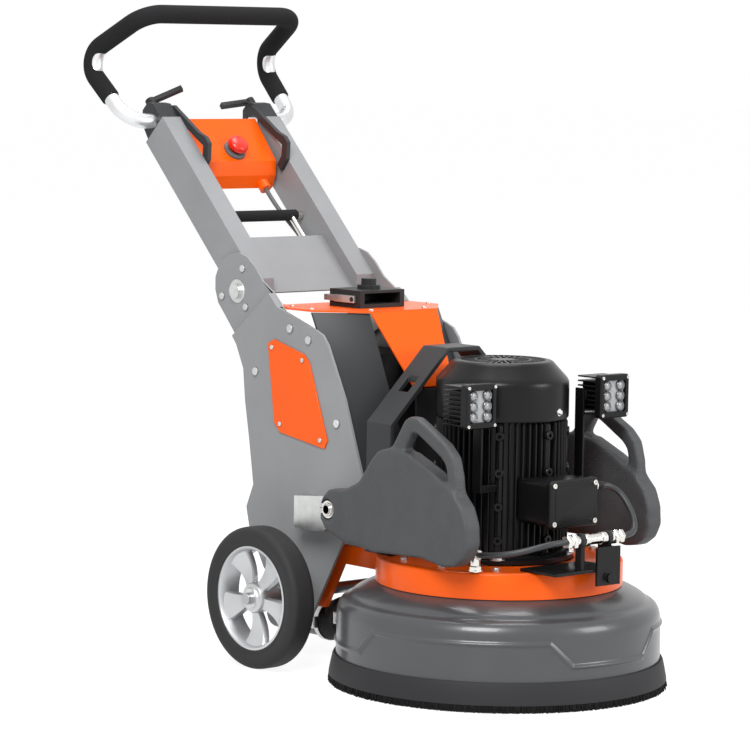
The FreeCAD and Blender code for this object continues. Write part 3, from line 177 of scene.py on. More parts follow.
# %% Rubbers and plastics
finish("skirt_rubber", (0.022, 0.022, 0.024), 0.62, grain=900, bump=0.2, glint=0.25)
finish("bristle", (0.012, 0.012, 0.012), 0.7, grain=900, bump=0.1, glint=0.1)
finish("tyre_rubber", (0.026, 0.026, 0.027), 0.66, grain=700, bump=0.3, glint=0.25)
finish("foam", (0.017, 0.017, 0.018), 0.88, grain=1500, bump=0.6, depth=0.0005, glint=0.12)
finish("black_plastic", (0.016, 0.016, 0.017), 0.45, grain=1100, bump=0.18, glint=0.25)
finish("hose_rubber", (0.013, 0.013, 0.013), 0.5, grain=900, bump=0.12, glint=0.25)
finish("cable_grey", (0.11, 0.115, 0.12), 0.5, grain=900, bump=0.1)
finish("cable_sheath", (0.03, 0.031, 0.033), 0.42, grain=900, bump=0.08)
finish("stop_red", (0.70, 0.018, 0.004), 0.32, grain=900, bump=0.04, coat=0.3)
print("with rubbers", len(SHADES))

# %% Metals
finish("steel", (0.42, 0.42, 0.43), 0.36, metal=1, grain=1200, bump=0.1)
finish("zinc", (0.62, 0.63, 0.62), 0.34, metal=1, mottle=0.12, mottle_scale=60, bump=0.08)
finish("nickel", (0.74, 0.72, 0.68), 0.20, metal=1, grain=1500, bump=0.04)
finish("satin_aluminium", (0.72, 0.73, 0.74), 0.34, metal=1, grain=1600, bump=0.05,
       mottle=0.04)
finish("cast_aluminium", (0.55, 0.56, 0.57), 0.42, metal=1, grain=900, bump=0.25,
       mottle=0.1)
finish("copper", (0.45, 0.16, 0.07), 0.4, metal=1)
print("finishes", len(SHADES))

SLOT_SHADE = {
    "skirt_rubber": "skirt_rubber", "grey_paint": "grey_paint",
    "orange_paint": "orange_paint", "dark_cover": "dark_cover", "steel": "steel",
    "motor_black": "motor_black", "copper_steel": "copper", "nickel": "nickel",
    "cable": "cable_sheath", "zinc": "zinc", "converter": "black_plastic",
    "black_plastic": "black_plastic", "hose_black": "hose_rubber",
    "aluminium_bar": "satin_aluminium", "foam": "foam", "stop_red": "stop_red",
    "tyre": "tyre_rubber", "wheel_aluminium": "cast_aluminium",
    "cast_weight": "cast_weight", "lamp_body": "black_plastic"}

# %% [markdown]
# ## Dress the CAD pieces
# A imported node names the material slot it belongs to, so the whole frame can be
# dressed in one pass before any piece is looked at closely.

# %% Dress the frame
SLOT_OF = {part["node"]: part["material_slot"] for part in frame["record"]["subparts"]}


def paint(thing, shade):
    """Every material slot of the object gets the one finish."""
    if not thing.material_slots:
        thing.data.materials.append(SHADES[shade])
    for held in thing.material_slots:
        held.material = SHADES[shade]


for node, thing in frame["nodes"].items():
    paint(thing, SLOT_SHADE[SLOT_OF[node]])
print("dressed", len(frame["nodes"]), "slots", len(set(SLOT_OF.values())))

# %% [markdown]
# ## Room and light
# A pale floor and a pale room, both brighter to the camera and to reflections than
# they are as light sources, so the black motor still shows a clean highlight. One
# broad lamp stands high to the left, a second fills from the right, and a third
# overhead draws the rims.

# %% Floor's own white
FLOOR_GLOW, FLOOR_SHARE, FLOOR_GREY, FLOOR_HALF = 1.30, 0.70, 0.82, 40


def pale_floor():
    """A share of the light that leaves it is its own white, the rest is shaded."""
    material = bpy.data.materials.new("pale_floor")
    material.use_nodes = True
    tree = material.node_tree
    tree.nodes.clear()
    out = tree.nodes.new("ShaderNodeOutputMaterial")
    diffuse = tree.nodes.new("ShaderNodeBsdfDiffuse")
    diffuse.inputs["Color"].default_value = (FLOOR_GREY, FLOOR_GREY, FLOOR_GREY, 1)
    glow = tree.nodes.new("ShaderNodeEmission")
    glow.inputs["Color"].default_value = (1, 1, 1, 1)
    mix = tree.nodes.new("ShaderNodeMixShader")
    glow.inputs["Strength"].default_value = FLOOR_GLOW
    tree.links.new(seen_rays(tree, FLOOR_SHARE), mix.inputs["Fac"])
    tree.links.new(diffuse.outputs["BSDF"], mix.inputs[1])
    tree.links.new(glow.outputs["Emission"], mix.inputs[2])
    tree.links.new(mix.outputs["Shader"], out.inputs["Surface"])
    return material


def seen_rays(tree, share):
    """share where a ray comes from the camera, a gloss or a pane, and 0 elsewhere."""
    rays = tree.nodes.new("ShaderNodeLightPath")
    either = tree.nodes.new("ShaderNodeMath")
    either.operation = "MAXIMUM"
    any_of = tree.nodes.new("ShaderNodeMath")
    any_of.operation = "MAXIMUM"
    scaled = tree.nodes.new("ShaderNodeMath")
    scaled.operation = "MULTIPLY"
    scaled.inputs[1].default_value = share
    tree.links.new(rays.outputs["Is Camera Ray"], either.inputs[0])
    tree.links.new(rays.outputs["Is Glossy Ray"], either.inputs[1])
    tree.links.new(either.outputs["Value"], any_of.inputs[0])
    tree.links.new(rays.outputs["Is Transmission Ray"], any_of.inputs[1])
    tree.links.new(any_of.outputs["Value"], scaled.inputs[0])
    return scaled.outputs["Value"]


print("floor reaches", FLOOR_HALF, "m each way")

# %% Room
ROOM_LIGHT, ROOM_SEEN = 0.34, 1.0


def add_room():
    """A square floor at height 0, and a white world: dim as a lamp, full where seen."""
    grid = np.array([(-1, -1, 0), (1, -1, 0), (1, 1, 0), (-1, 1, 0)], float) * FLOOR_HALF
    mesh = bpy.data.meshes.new("floor")
    mesh.from_pydata(grid.tolist(), [], [(0, 1, 2, 3)])
    floor = bpy.data.objects.new("floor", mesh)
    bpy.context.scene.collection.objects.link(floor)
    mesh.materials.append(pale_floor())
    world = bpy.data.worlds.new("room")
    world.use_nodes = True
    tree = world.node_tree
    back = tree.nodes["Background"]
    back.inputs["Color"].default_value = (1, 1, 1, 1)
    strength = tree.nodes.new("ShaderNodeMapRange")
    strength.inputs["To Min"].default_value = ROOM_LIGHT
    strength.inputs["To Max"].default_value = ROOM_SEEN
    tree.links.new(seen_rays(tree, 1.0), strength.inputs["Value"])
    tree.links.new(strength.outputs["Result"], back.inputs["Strength"])
    bpy.context.scene.world = world


add_room()
print("room and floor")


# %% Lamps in the room
def add_lamp(name, spot, target, size, power):
    """A square soft lamp at spot, turned so that its -Z looks at target."""
    data = bpy.data.lights.new(name, "AREA")
    data.size = size
    data.energy = power
    lamp = bpy.data.objects.new(name, data)
    bpy.context.scene.collection.objects.link(lamp)
    away = np.array(spot, float) - np.array(target, float)
    lamp.matrix_world = (Matrix.Translation(spot)
                         @ turned_to(away / np.linalg.norm(away)))


def turned_to(away):
    """A turn whose Z is away, whose X lies level, and whose Y is square to both."""
    side = np.cross([0, 0, 1.0], away)
    side /= np.linalg.norm(side)
    return Matrix(np.column_stack([side, np.cross(away, side), away]).tolist()).to_4x4()


MIDDLE = (0, -0.1, 0.5)
add_lamp("key", (-2.4, -1.8, 2.8), MIDDLE, 1.5, 118)
add_lamp("fill", (1.6, -3.2, 1.5), MIDDLE, 1.3, 44)
add_lamp("top", (0.3, 0.3, 3.2), (0, -0.11, 0.5), 1.6, 48)
scene = bpy.context.scene
scene.view_settings.view_transform = "Standard"

# %% [markdown]
# ## Tools: surfaces from arrays
# A lathe turns a profile about an axis, a sweep carries a circle along a path, and
# a slab carries an outline from one face to the other with its edges rolled over.
# Each works on whole arrays and hands rows of points to one function that stitches
# them into quads.

# %% Stitching
def stitch(rows, around=True, ends=()):
    """Quads between rows (rows x points x 3), and flat faces on the ends that are named."""
    count, width = rows.shape[:2]
    index = np.arange(count * width).reshape(count, width)
    after = np.roll(index, -1, axis=1)
    if not around:
        index, after = index[:, :-1], index[:, 1:]
    quads = np.stack([index[:-1], after[:-1], after[1:], index[1:]], axis=-1)
    faces = quads.reshape(-1, 4).tolist()
    if "first" in ends:
        faces.append(list(range(width))[::-1])
    if "last" in ends:
        faces.append(list(range((count - 1) * width, count * width)))
    return rows.reshape(-1, 3), faces


def joined(*shells):
    """Several (points, faces) as one."""
    points, faces, start = [], [], 0
    for spots, polygons in shells:
        points.append(np.asarray(spots, float))
        faces += [[corner + start for corner in polygon] for polygon in polygons]
        start += len(spots)
    return np.concatenate(points), faces


def moved(shell, change):
    """The shell with its points put through a function of arrays."""
    return change(np.asarray(shell[0], float)), shell[1]


def mirrored(shell):
    """The same shell across X = 0, with its faces turned to point outwards again."""
    points = np.asarray(shell[0], float) * (-1, 1, 1)
    return points, [polygon[::-1] for polygon in shell[1]]


print("shells are (points, faces)")

# %% A piece from a shell
MERGE = 1e-6
PIECES = []


def piece(name, shell, shade, body, nodes=(), crease=32, ease=0.0):
    """A finished object: smooth but for edges sharper than crease, riding on its body."""
    mesh = bpy.data.meshes.new(name)
    points, faces = shell
    mesh.from_pydata(np.asarray(points).tolist(), [], faces)
    made = bpy.data.objects.new(name, mesh)
    bpy.context.scene.collection.objects.link(made)
    work = bmesh.new()
    work.from_mesh(mesh)
    bmesh.ops.remove_doubles(work, verts=work.verts, dist=MERGE)
    bmesh.ops.recalc_face_normals(work, faces=work.faces)
    work.to_mesh(mesh)
    work.free()
    mesh.shade_smooth()
    mesh.set_sharp_from_angle(angle=math.radians(crease))
    paint(made, shade)
    if ease:
        add_bevel(made, ease)
    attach(made, body)
    if nodes:
        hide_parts(*nodes)
    PIECES.append(made)
    return made


def add_bevel(thing, width, angle=30):
    """Rolls every edge sharper than angle over by width."""
    roll = thing.modifiers.new("edges", "BEVEL")
    roll.width = width
    roll.segments = 2
    roll.limit_method = "ANGLE"
    roll.angle_limit = math.radians(angle)
    roll.harden_normals = True


print("piece maker ready")

# %% Lathe
AXES = {"X": (1, 2, 0), "Y": (2, 0, 1), "Z": (0, 1, 2)}


def lathe(profile, centre=(0, 0), axis="Z", steps=96, closed=False):
    """A profile of (radius, height) turned about an axis through centre."""
    line = np.asarray(profile, float)
    if closed:
        line = np.vstack([line, line[:1]])
    angle = np.linspace(0, 2 * np.pi, steps, endpoint=False)
    rows = np.zeros((len(line), steps, 3))
    first, second, along = AXES[axis]
    rows[:, :, first] = centre[0] + line[:, :1] * np.cos(angle)
    rows[:, :, second] = centre[1] + line[:, :1] * np.sin(angle)
    rows[:, :, along] = line[:, 1:]
    return stitch(rows, ends=() if closed else ("first", "last"))


print("lathe turns about", list(AXES))


# %% Outlines
def rounded(corners, radius, steps=6):
    """A closed outline whose corners are arcs: each arc runs between the two points
    where a circle of the radius touches the corner's sides."""
    spots = np.asarray(corners, float)
    reach = np.broadcast_to(np.asarray(radius, float), len(spots))
    before = np.roll(spots, 1, axis=0) - spots
    after = np.roll(spots, -1, axis=0) - spots
    long_before = np.linalg.norm(before, axis=1)
    long_after = np.linalg.norm(after, axis=1)
    before /= long_before[:, None]
    after /= long_after[:, None]
    cosine = np.clip((before * after).sum(1), -0.99999, 0.99999)
    half = np.arccos(cosine) / 2
    run = np.minimum(reach / np.tan(half), 0.48 * np.minimum(long_before, long_after))
    size = run * np.tan(half)
    middle = before + after
    middle /= np.linalg.norm(middle, axis=1)[:, None]
    centre = spots + middle * (size / np.sin(half))[:, None]
    start = spots + before * run[:, None] - centre
    end = spots + after * run[:, None] - centre
    part = np.linspace(0, 1, steps + 1)[None, :, None]
    sweep = np.arccos(np.clip((start * end).sum(1) / np.maximum(size**2, 1e-12), -1, 1))
    sweep = sweep[:, None, None]
    arcs = (np.sin((1 - part) * sweep) * start[:, None] + np.sin(part * sweep) * end[:, None])
    arcs = arcs / np.maximum(np.sin(sweep), 1e-9) + centre[:, None]
    return arcs.reshape(-1, 2)


def inset(outline, distance):
    """Each point of a closed outline moved inwards along its own normal."""
    ahead = np.roll(outline, -1, axis=0) - np.roll(outline, 1, axis=0)
    normal = np.stack([-ahead[:, 1], ahead[:, 0]], axis=1)
    normal /= np.maximum(np.linalg.norm(normal, axis=1), 1e-9)[:, None]
    turn = (outline[:, 0] * np.roll(outline[:, 1], -1)
            - np.roll(outline[:, 0], -1) * outline[:, 1]).sum()
    return outline + normal * distance * np.sign(turn)


print("a square with round corners has", len(rounded([(0, 0), (1, 0), (1, 1), (0, 1)], 0.1)),
      "points")


# %% Slabs and blocks
def slab(outline, low, high, edge=0.002, axis="X", steps=4):
    """An outline carried from low to high along an axis, its two rims rolled over in
    quarter circles of the edge's size."""
    turn = np.linspace(0, np.pi / 2, steps + 1)
    sinks = edge * (1 - np.sin(turn))
    lifts = edge * (1 - np.cos(turn))
    levels = [(s, low + h) for s, h in zip(sinks, lifts)]
    levels += [(s, high - h) for s, h in zip(sinks[::-1], lifts[::-1])]
    first, second, along = AXES[axis]
    rows = np.zeros((len(levels), len(outline), 3))
    for row, (sink, height) in zip(rows, levels):
        ring = inset(outline, sink)
        row[:, first] = ring[:, 0]
        row[:, second] = ring[:, 1]
        row[:, along] = height
    return stitch(rows, ends=("first", "last"))


def block(low, high, corner=0.004, edge=0.002, axis="Z"):
    """A box with round corners about one axis and rolled rims on the faces across it."""
    first, second, along = AXES[axis]
    a, b = np.minimum(low, high), np.maximum(low, high)
    outline = rounded([(a[first], a[second]), (b[first], a[second]),
                       (b[first], b[second]), (a[first], b[second])], corner)
    return slab(outline, a[along], b[along], edge, axis)


print("a block has", len(block((0, 0, 0), (1, 1, 1))[1]), "faces")


# %% Paths and sweeps
def smooth_path(corners, radius, steps=10):
    """A path of straight runs joined by arcs of the radius, as points in space."""
    spots = np.asarray(corners, float)
    path = [spots[:1]]
    for before, here, after in zip(spots[:-2], spots[1:-1], spots[2:]):
        back, on = before - here, after - here
        reach_back, reach_on = np.linalg.norm(back), np.linalg.norm(on)
        back, on = back / reach_back, on / reach_on
        half = math.acos(np.clip(back @ on, -1, 1)) / 2
        run = min(radius / math.tan(half), 0.49 * reach_back, 0.49 * reach_on)
        size = run * math.tan(half)
        middle = (back + on) / np.linalg.norm(back + on)
        centre = here + middle * size / math.sin(half)
        start, end = here + back * run - centre, here + on * run - centre
        sweep = math.pi - 2 * half
        part = np.linspace(0, 1, steps + 1)[:, None]
        arc = (np.sin((1 - part) * sweep) * start + np.sin(part * sweep) * end)
        path.append(arc / math.sin(sweep) + centre)
    path.append(spots[-1:])
    return np.concatenate(path)


def sweep(path, radius, steps=20, radii=None):
    """A circle carried along a path. Its frame is turned as little as possible from
    point to point, so the tube doesn't twist."""
    path = np.asarray(path, float)
    ahead = np.gradient(path, axis=0)
    ahead /= np.linalg.norm(ahead, axis=1)[:, None]
    side = np.cross(ahead[0], [0.3, 0.5, 0.8])
    sides = []
    for forward in ahead:
        side = side - forward * (side @ forward)
        side = side / np.linalg.norm(side)
        sides.append(side)
    sides = np.array(sides)
    ups = np.cross(ahead, sides)
    angle = np.linspace(0, 2 * np.pi, steps, endpoint=False)
    size = np.full(len(path), radius) if radii is None else np.asarray(radii)
    ring = (sides[:, None] * np.cos(angle)[None, :, None]
            + ups[:, None] * np.sin(angle)[None, :, None])
    return stitch(path[:, None] + ring * size[:, None, None], ends=("first", "last"))


def spline(points, count=60):
    """A uniform quadratic B-spline's points through the middles of a chosen outline."""
    spots = np.asarray(points, float)
    ends = np.vstack([spots[:1], (spots[1:] + spots[:-1]) / 2, spots[-1:]])
    part = np.linspace(0, 1, max(count // (len(spots)), 2), endpoint=False)[:, None]
    legs = [(1 - part) ** 2 * a + 2 * part * (1 - part) * c + part**2 * b
            for a, c, b in zip(ends[:-1], spots, ends[1:])]
    return np.vstack(legs + [spots[-1:]])


print("tools ready")

# %% [markdown]
# ## Cords
# Three cords are held at both ends. The motor's lead leaves the gland on the
# terminal box and drops in a loop to the coupling row, the supply hose goes on from
# there round the motor's foot, and the control cable hangs from the operator's box
# into the right arm. A cord bends smoothly under its own stiffness, so each is a
# NURBS curve whose control points are the cord's chosen route.

# %% Cord routes
ARM_ANGLE = math.radians(45.4)
PIVOT = np.array([0, 0.523 + HEAD, 0.619])


def on_arms(points):
    """Points given as (x, across, along) from the arms' pivot, turned by the arms' angle:
    along goes up and back with the arms, and across goes back and down."""
    x, across, along = np.asarray(points, float).T
    rise, run = math.sin(ARM_ANGLE), math.cos(ARM_ANGLE)
    return np.stack([x, PIVOT[1] + along * run + across * rise,
                     PIVOT[2] + along * rise - across * run], axis=1)


MOTOR_LEAD = [(0.071, -0.150, 0.338), (0.093, -0.150, 0.338), (0.111, -0.160, 0.329),
              (0.116, -0.176, 0.312), (0.113, -0.196, 0.290), (0.101, -0.212, 0.271),
              (0.082, -0.219, 0.264), (0.063, -0.219, 0.264)]
SUPPLY_HOSE = [(-0.063, -0.219, 0.264), (-0.082, -0.219, 0.264), (-0.107, -0.212, 0.260),
               (-0.133, -0.196, 0.252), (-0.153, -0.172, 0.246), (-0.160, -0.146, 0.242),
               (-0.160, -0.122, 0.240)]
CONTROL_CABLE = [(0.060, 0.004, 0.236), (0.060, 0.004, 0.208), (0.067, 0.007, 0.180),
                 (0.078, 0.011, 0.154), (0.084, 0.012, 0.130), (0.084, 0.012, 0.104)]


def add_cord(name, points, radius, shade, body, node):
    """A NURBS curve of order 3 with the route's points as its control points, held at
    both of its ends."""
    curve = bpy.data.curves.new(name, "CURVE")
    curve.dimensions = "3D"
    curve.bevel_depth = radius
    curve.bevel_resolution = 6
    curve.use_fill_caps = True
    line = curve.splines.new("NURBS")
    line.points.add(len(points) - 1)
    for held, spot in zip(line.points, points):
        held.co = (*spot, 1)
    line.order_u = 3
    line.use_endpoint_u = True
    line.resolution_u = 12
    made = bpy.data.objects.new(name, curve)
    bpy.context.scene.collection.objects.link(made)
    curve.materials.append(SHADES[shade])
    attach(made, body)
    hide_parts(node)
    print(name, "route", len(points), "points")


from_head = np.array([0, HEAD, 0])
add_cord("motor_lead_sheath", np.array(MOTOR_LEAD) + from_head, 0.005, "cable_sheath",
         "chassis", "motor_lead")
add_cord("supply_hose_sheath", np.array(SUPPLY_HOSE) + from_head, 0.005, "cable_sheath",
         "chassis", "supply_hose")
add_cord("control_cable_sheath", on_arms(CONTROL_CABLE), 0.004, "cable_grey",
         "handle", "control_cable")

# %% [markdown]
# ## Sheet-metal and machined pieces
# A laser-cut plate never has a knife edge: the paint pools on it and it shines as a
# thin line. The CAD solids have the right outline, so these pieces start from a copy
# of the CAD mesh, with its doubles merged and its flat faces made whole, and a live
# Bevel rolls the edges over.

# %% Eased copies
CAD_MERGE = 2e-6
FLAT_WITHIN = 0.5   # degrees


def eased(node, width, angle=30):
    """A copy of a CAD node with merged points, whole flat faces and rolled edges."""
    source = frame["nodes"][node]
    mesh = source.data.copy()
    work = bmesh.new()
    work.from_mesh(mesh)
    bmesh.ops.remove_doubles(work, verts=work.verts, dist=CAD_MERGE)
    bmesh.ops.dissolve_limit(work, angle_limit=math.radians(FLAT_WITHIN),
                             verts=work.verts, edges=work.edges)
    work.to_mesh(mesh)
    work.free()
    mesh.shade_smooth()
    mesh.set_sharp_from_angle(angle=math.radians(angle))
    made = bpy.data.objects.new(node + "_finished", mesh)
    bpy.context.scene.collection.objects.link(made)
    add_bevel(made, width, angle)
    paint(made, SLOT_SHADE[SLOT_OF[node]])
    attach(made, BODY_OF[node])
    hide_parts(node)
    return made


for node, width in (("right_side_plate", 0.0012), ("left_side_plate", 0.0012),
                    ("rear_panel", 0.001), ("inset_panels", 0.0012), ("hood", 0.0012),
                    ("front_covers", 0.0015), ("lower_frame", 0.0012),
                    ("lifting_arch", 0.002), ("weight_hangers", 0.001),
                    ("motor_brackets", 0.001), ("handle_frame", 0.003),
                    ("handle_fittings", 0.0022), ("drive_unit", 0.001),
                    ("control_box", 0.0022), ("main_switch", 0.0015),
                    ("power_inlet", 0.0018), ("connector_bail", 0.0008),
                    ("chassis_bolts", 0.0006), ("axle", 0.001),
                    ("right_clamp_lever", 0.0018), ("left_clamp_lever", 0.0018),
                    ("right_plunger", 0.0012), ("left_plunger", 0.0012)):
    eased(node, width)
print("eased copies made")

# %% [markdown]
# ## The hood over the discs
# The big round hood is a deep-drawn shell. Its wall carries a pressed bead that runs
# low across the front, steps up on a slant, and stays high along each side, which
# stiffens the sheet. It is a lathe whose radius is pushed out by a small bump of
# distance from that bead's line, so angle and height are the two parameters.

# %% Shroud
SHROUD_LINE = [(0.268, 0.042), (0.2678, 0.075), (0.2675, 0.105), (0.2665, 0.125),
               (0.259, 0.1385), (0.247, 0.1435), (0.2435, 0.1465), (0.2405, 0.150),
               (0.232, 0.1555), (0.218, 0.1625), (0.2075, 0.166), (0.203, 0.168),
               (0.199, 0.168)]
BEAD_LOW, BEAD_HIGH = 0.070, 0.108
BEAD_WIDE, BEAD_PROUD = 0.0034, 0.0034
BEAD_FRONT, BEAD_BACK, BEAD_SLANT = 17, 91, 8.5   # degrees off the front
SHEET = 0.004


def bead_height(angle):
    """The bead's height: low over the front and the back and high along each side, with
    a straight slant of 8.5 degrees between them."""
    off_front = np.abs((np.degrees(angle) + 90 + 180) % 360 - 180)
    up = np.clip((off_front - BEAD_FRONT) / BEAD_SLANT, 0, 1)
    down = np.clip((off_front - BEAD_BACK) / BEAD_SLANT, 0, 1)
    return BEAD_LOW + (BEAD_HIGH - BEAD_LOW) * (up - down)


def bead_push(angle, height):
    """How far the wall stands out: a smooth bump of the distance to the bead's line."""
    turned = np.stack([bead_height(angle + shift) for shift in (-0.006, 0, 0.006)])
    slope = (turned[2] - turned[0]) / (0.012 * SHROUD_LINE[0][0])
    off = np.abs(height - turned.mean(0)) / np.sqrt(1 + slope**2) / BEAD_WIDE
    return BEAD_PROUD * np.exp(-(off**2))


WALL_FOOT, WALL_HEAD = 0.042, 0.118


def shroud_shell(steps=720):
    """A closed section, turned: the outer line, then the inner line a sheet's thickness
    in from it. Each point's radius is its own plus the bead's push at its angle."""
    curve = spline(np.c_[SHROUD_LINE, np.zeros(len(SHROUD_LINE))], 91)[:, :2]
    wall = np.linspace(WALL_FOOT, WALL_HEAD, 66)
    radius = np.interp(wall, curve[:, 1], curve[:, 0])
    outer = np.vstack([np.c_[radius, wall], curve[curve[:, 1] > WALL_HEAD + 0.0005]])
    inner = outer[::-1] - (SHEET, 0) - np.c_[np.zeros(len(outer)),
                                              SHEET * (outer[::-1, 0] < 0.24)]
    inner[-1, 1] = outer[0, 1]
    line = np.vstack([outer, inner, outer[:1]])
    angle = np.linspace(0, 2 * np.pi, steps, endpoint=False)
    size = line[:, :1] + bead_push(angle[None], line[:, 1:])
    rows = np.stack([size * np.cos(angle), size * np.sin(angle) + HEAD,
                     np.broadcast_to(line[:, 1:], size.shape)], axis=-1)
    return stitch(rows)


piece("shroud_shell", shroud_shell(), "shroud_grey", "chassis", ["shroud"], crease=50)
port = lathe([(0.027, -0.040), (0.030, -0.040), (0.030, 0.276 + HEAD), (0.027, 0.276 + HEAD)],
             centre=(0.078, -0.070), axis="Y", steps=48, closed=True)
piece("shroud_port", port, "shroud_grey", "chassis")
print("shroud bead", BEAD_LOW, BEAD_HIGH)

# %% [markdown]
# ## Skirt and bristles
# A rubber band flares from the hood's rim to the floor and a brush is clamped under
# it to keep the dust in. The band is a lathe. The brush is nearly two thousand thin
# tufts of six faces each, and each leans a little its own way.

# %% Skirt
SKIRT_LINE = [(0.2684, 0.047), (0.2715, 0.0475), (0.2735, 0.044), (0.2765, 0.030),
              (0.2792, 0.016), (0.2795, 0.0125), (0.2745, 0.0125), (0.2722, 0.030),
              (0.2684, 0.041)]
piece("skirt_band", lathe(SKIRT_LINE, (0, HEAD), steps=192, closed=True), "skirt_rubber",
      "chassis", ["floor_skirt"], crease=60)


def tufts(count=1900, radius=0.2768, seed=4):
    """Four-sided tapered tufts round a circle: a foot ring and a smaller leaning tip."""
    chance = np.random.default_rng(seed)
    angle = np.linspace(0, 2 * np.pi, count, endpoint=False)
    angle = angle + chance.uniform(-0.002, 0.002, count)
    out = np.stack([np.cos(angle), np.sin(angle), 0 * angle], axis=1)
    along = np.stack([-np.sin(angle), np.cos(angle), 0 * angle], axis=1)
    spot = out * (radius + chance.uniform(-0.0016, 0.0016, count))[:, None]
    tip = spot + out * chance.uniform(-0.0005, 0.003, count)[:, None]
    tip = tip + along * chance.uniform(-0.0025, 0.0025, count)[:, None]
    up = np.array([0, 0, 1.0])
    rings = []
    for centre, half, height in ((spot, 0.0008, 0.0135), (tip, 0.0005, 0.0004)):
        corners = np.stack([out + along, along - out, -out - along, out - along], axis=1)
        rings.append(centre[:, None] + corners * half + up * height)
    spots = np.stack(rings, axis=1).reshape(-1, 3) + (0, HEAD, 0)
    base = np.arange(count)[:, None, None] * 8
    sides = np.array([(0, 1, 5, 4), (1, 2, 6, 5), (2, 3, 7, 6), (3, 0, 4, 7)])
    caps = np.array([(3, 2, 1, 0), (4, 5, 6, 7)])
    faces = np.concatenate([(base + sides).reshape(-1, 4), (base + caps).reshape(-1, 4)])
    return spots, faces.tolist()


piece("skirt_bristles", tufts(), "bristle", "chassis", crease=20)
# A dark band as tall as the bristles stands just inside the tufts. Partly it is the brush's inner rows, and partly
# it is painted shade: it hides the floor's own white under the hood, which would otherwise show between the tufts.
BRISTLE_ROWS_AND_SHADE_BAND = [(0.2728, 0.0006), (0.2752, 0.0006), (0.2752, 0.0135), (0.2728, 0.0135)]
piece("bristle_rows_and_shade_band", lathe(BRISTLE_ROWS_AND_SHADE_BAND, (0, HEAD), steps=192, closed=True), "bristle",
      "chassis")
print("skirt and bristles")

# %% [markdown]
# ## Gear housing
# The orange ring is a turned casting: a plain wall, a rolled top rim, and a low
# cover on top of it that the motor's foot bolts to. One profile and a ring of
# screws.

# %% Housing
HOUSING_LINE = [(0.190, 0.141), (0.1985, 0.141), (0.1985, 0.1685), (0.204, 0.1690),
                (0.2040, 0.2075), (0.2032, 0.2098), (0.2010, 0.2112), (0.1980, 0.2120),
                (0.1880, 0.2120), (0.1865, 0.2108), (0.1220, 0.2108), (0.1220, 0.2035),
                (0.190, 0.2035)]
piece("housing_ring", lathe(HOUSING_LINE, (0, HEAD), steps=192, closed=True),
      "orange_paint", "chassis", ["gear_housing"], crease=40)
print("housing ring", len(HOUSING_LINE), "points turned")


# %% Bolt heads and screws
def hexagon(radius):
    """Six corners, 60 degrees apart, on a circle of the radius."""
    angle = np.arange(6) * np.pi / 3
    return np.stack([radius * np.cos(angle), radius * np.sin(angle)], axis=1)


def hex_bolt(radius, height, washer=True):
    """A hexagon head with chamfered corners, standing on a round washer, along +Z."""
    flats = hexagon(radius)
    rows = [np.c_[flats * size, np.full(6, level)]
            for size, level in ((1, 0), (1, height * 0.8), (0.88, height))]
    head = stitch(np.array(rows), ends=("first", "last"))
    if not washer:
        return head
    disc = lathe([(0, 0), (radius * 1.45, 0), (radius * 1.45, 0.0012), (0, 0.0012)],
                 steps=24)
    return joined(disc, moved(head, lambda spots: spots + (0, 0, 0.0012)))


def socket_screw(radius, height):
    """A round cap screw with a hexagonal socket sunk in it, along +Z."""
    turn = np.linspace(0, 2 * np.pi, 24, endpoint=False)
    ring = np.stack([np.cos(turn), np.sin(turn)], axis=1)
    well = np.repeat(hexagon(radius * 0.52), 4, axis=0)
    rows = [(ring * radius, 0), (ring * radius, height * 0.85),
            (ring * radius * 0.9, height), (ring * radius * 0.62, height),
            (well, height * 0.95), (well, height * 0.45)]
    return stitch(np.array([np.c_[spots, np.full(24, level)] for spots, level in rows]),
                  ends=("first", "last"))


def facing(direction, spot):
    """A change that turns +Z to the direction and moves the shell to the spot."""
    ahead = np.array(direction, float)
    ahead /= np.linalg.norm(ahead)
    side = np.cross([0.2, 0.9, 0.3], ahead)
    side /= np.linalg.norm(side)
    turn = np.stack([side, np.cross(ahead, side), ahead])
    return lambda spots: spots @ turn + np.asarray(spot, float)


def ring_spots(count, radius, height, start=0.0):
    """Even steps round the head's axis at a radius and a height, from an angle on."""
    angle = np.radians(start) + np.arange(count) * 2 * np.pi / count
    return np.stack([radius * np.cos(angle), radius * np.sin(angle) + HEAD,
                     np.full(count, height)], axis=1)


print("a socket screw has", len(socket_screw(1, 1)[1]), "faces")

# %% Housing screws and motor foot bolts
bolts = [moved(socket_screw(0.006, 0.006), facing((0, 0, 1), spot))
         for spot in ring_spots(12, 0.176, 0.2108, 15)]
piece("housing_screws", joined(*bolts), "zinc", "chassis")
bolts = [moved(hex_bolt(0.0085, 0.0085), facing((0, 0, 1), spot))
         for spot in ring_spots(4, 0.1145, 0.2198, 45)]
piece("motor_foot_bolts", joined(*bolts), "zinc", "chassis")
print("housing bolts")

# %% [markdown]
# ## Motor
# The motor's barrel is an iron casting with tall cooling fins all round it, broken by
# four broad ribs that carry the feet of the brackets. A fin is a thin plate with a
# rounded outer edge. All of them are one array: the section's points are turned to
# each fin's angle, and lofted from the bottom to the top.

# %% Fins
BARREL, FIN_TIP = 0.0975, 0.1085
FIN_LOW, FIN_HIGH = 0.227, 0.4425
FIN_GAP = 6.0
RIB_AT = (-135, -88, -45, 45, 135)
RIB_CLEAR = 6.5


def fin_angles():
    """Even steps all round, but for the stretches that the broad ribs take."""
    every = np.arange(0, 360, FIN_GAP)
    off = np.abs((every[:, None] - np.array(RIB_AT) + 180) % 360 - 180)
    return every[(off > RIB_CLEAR).all(1)]


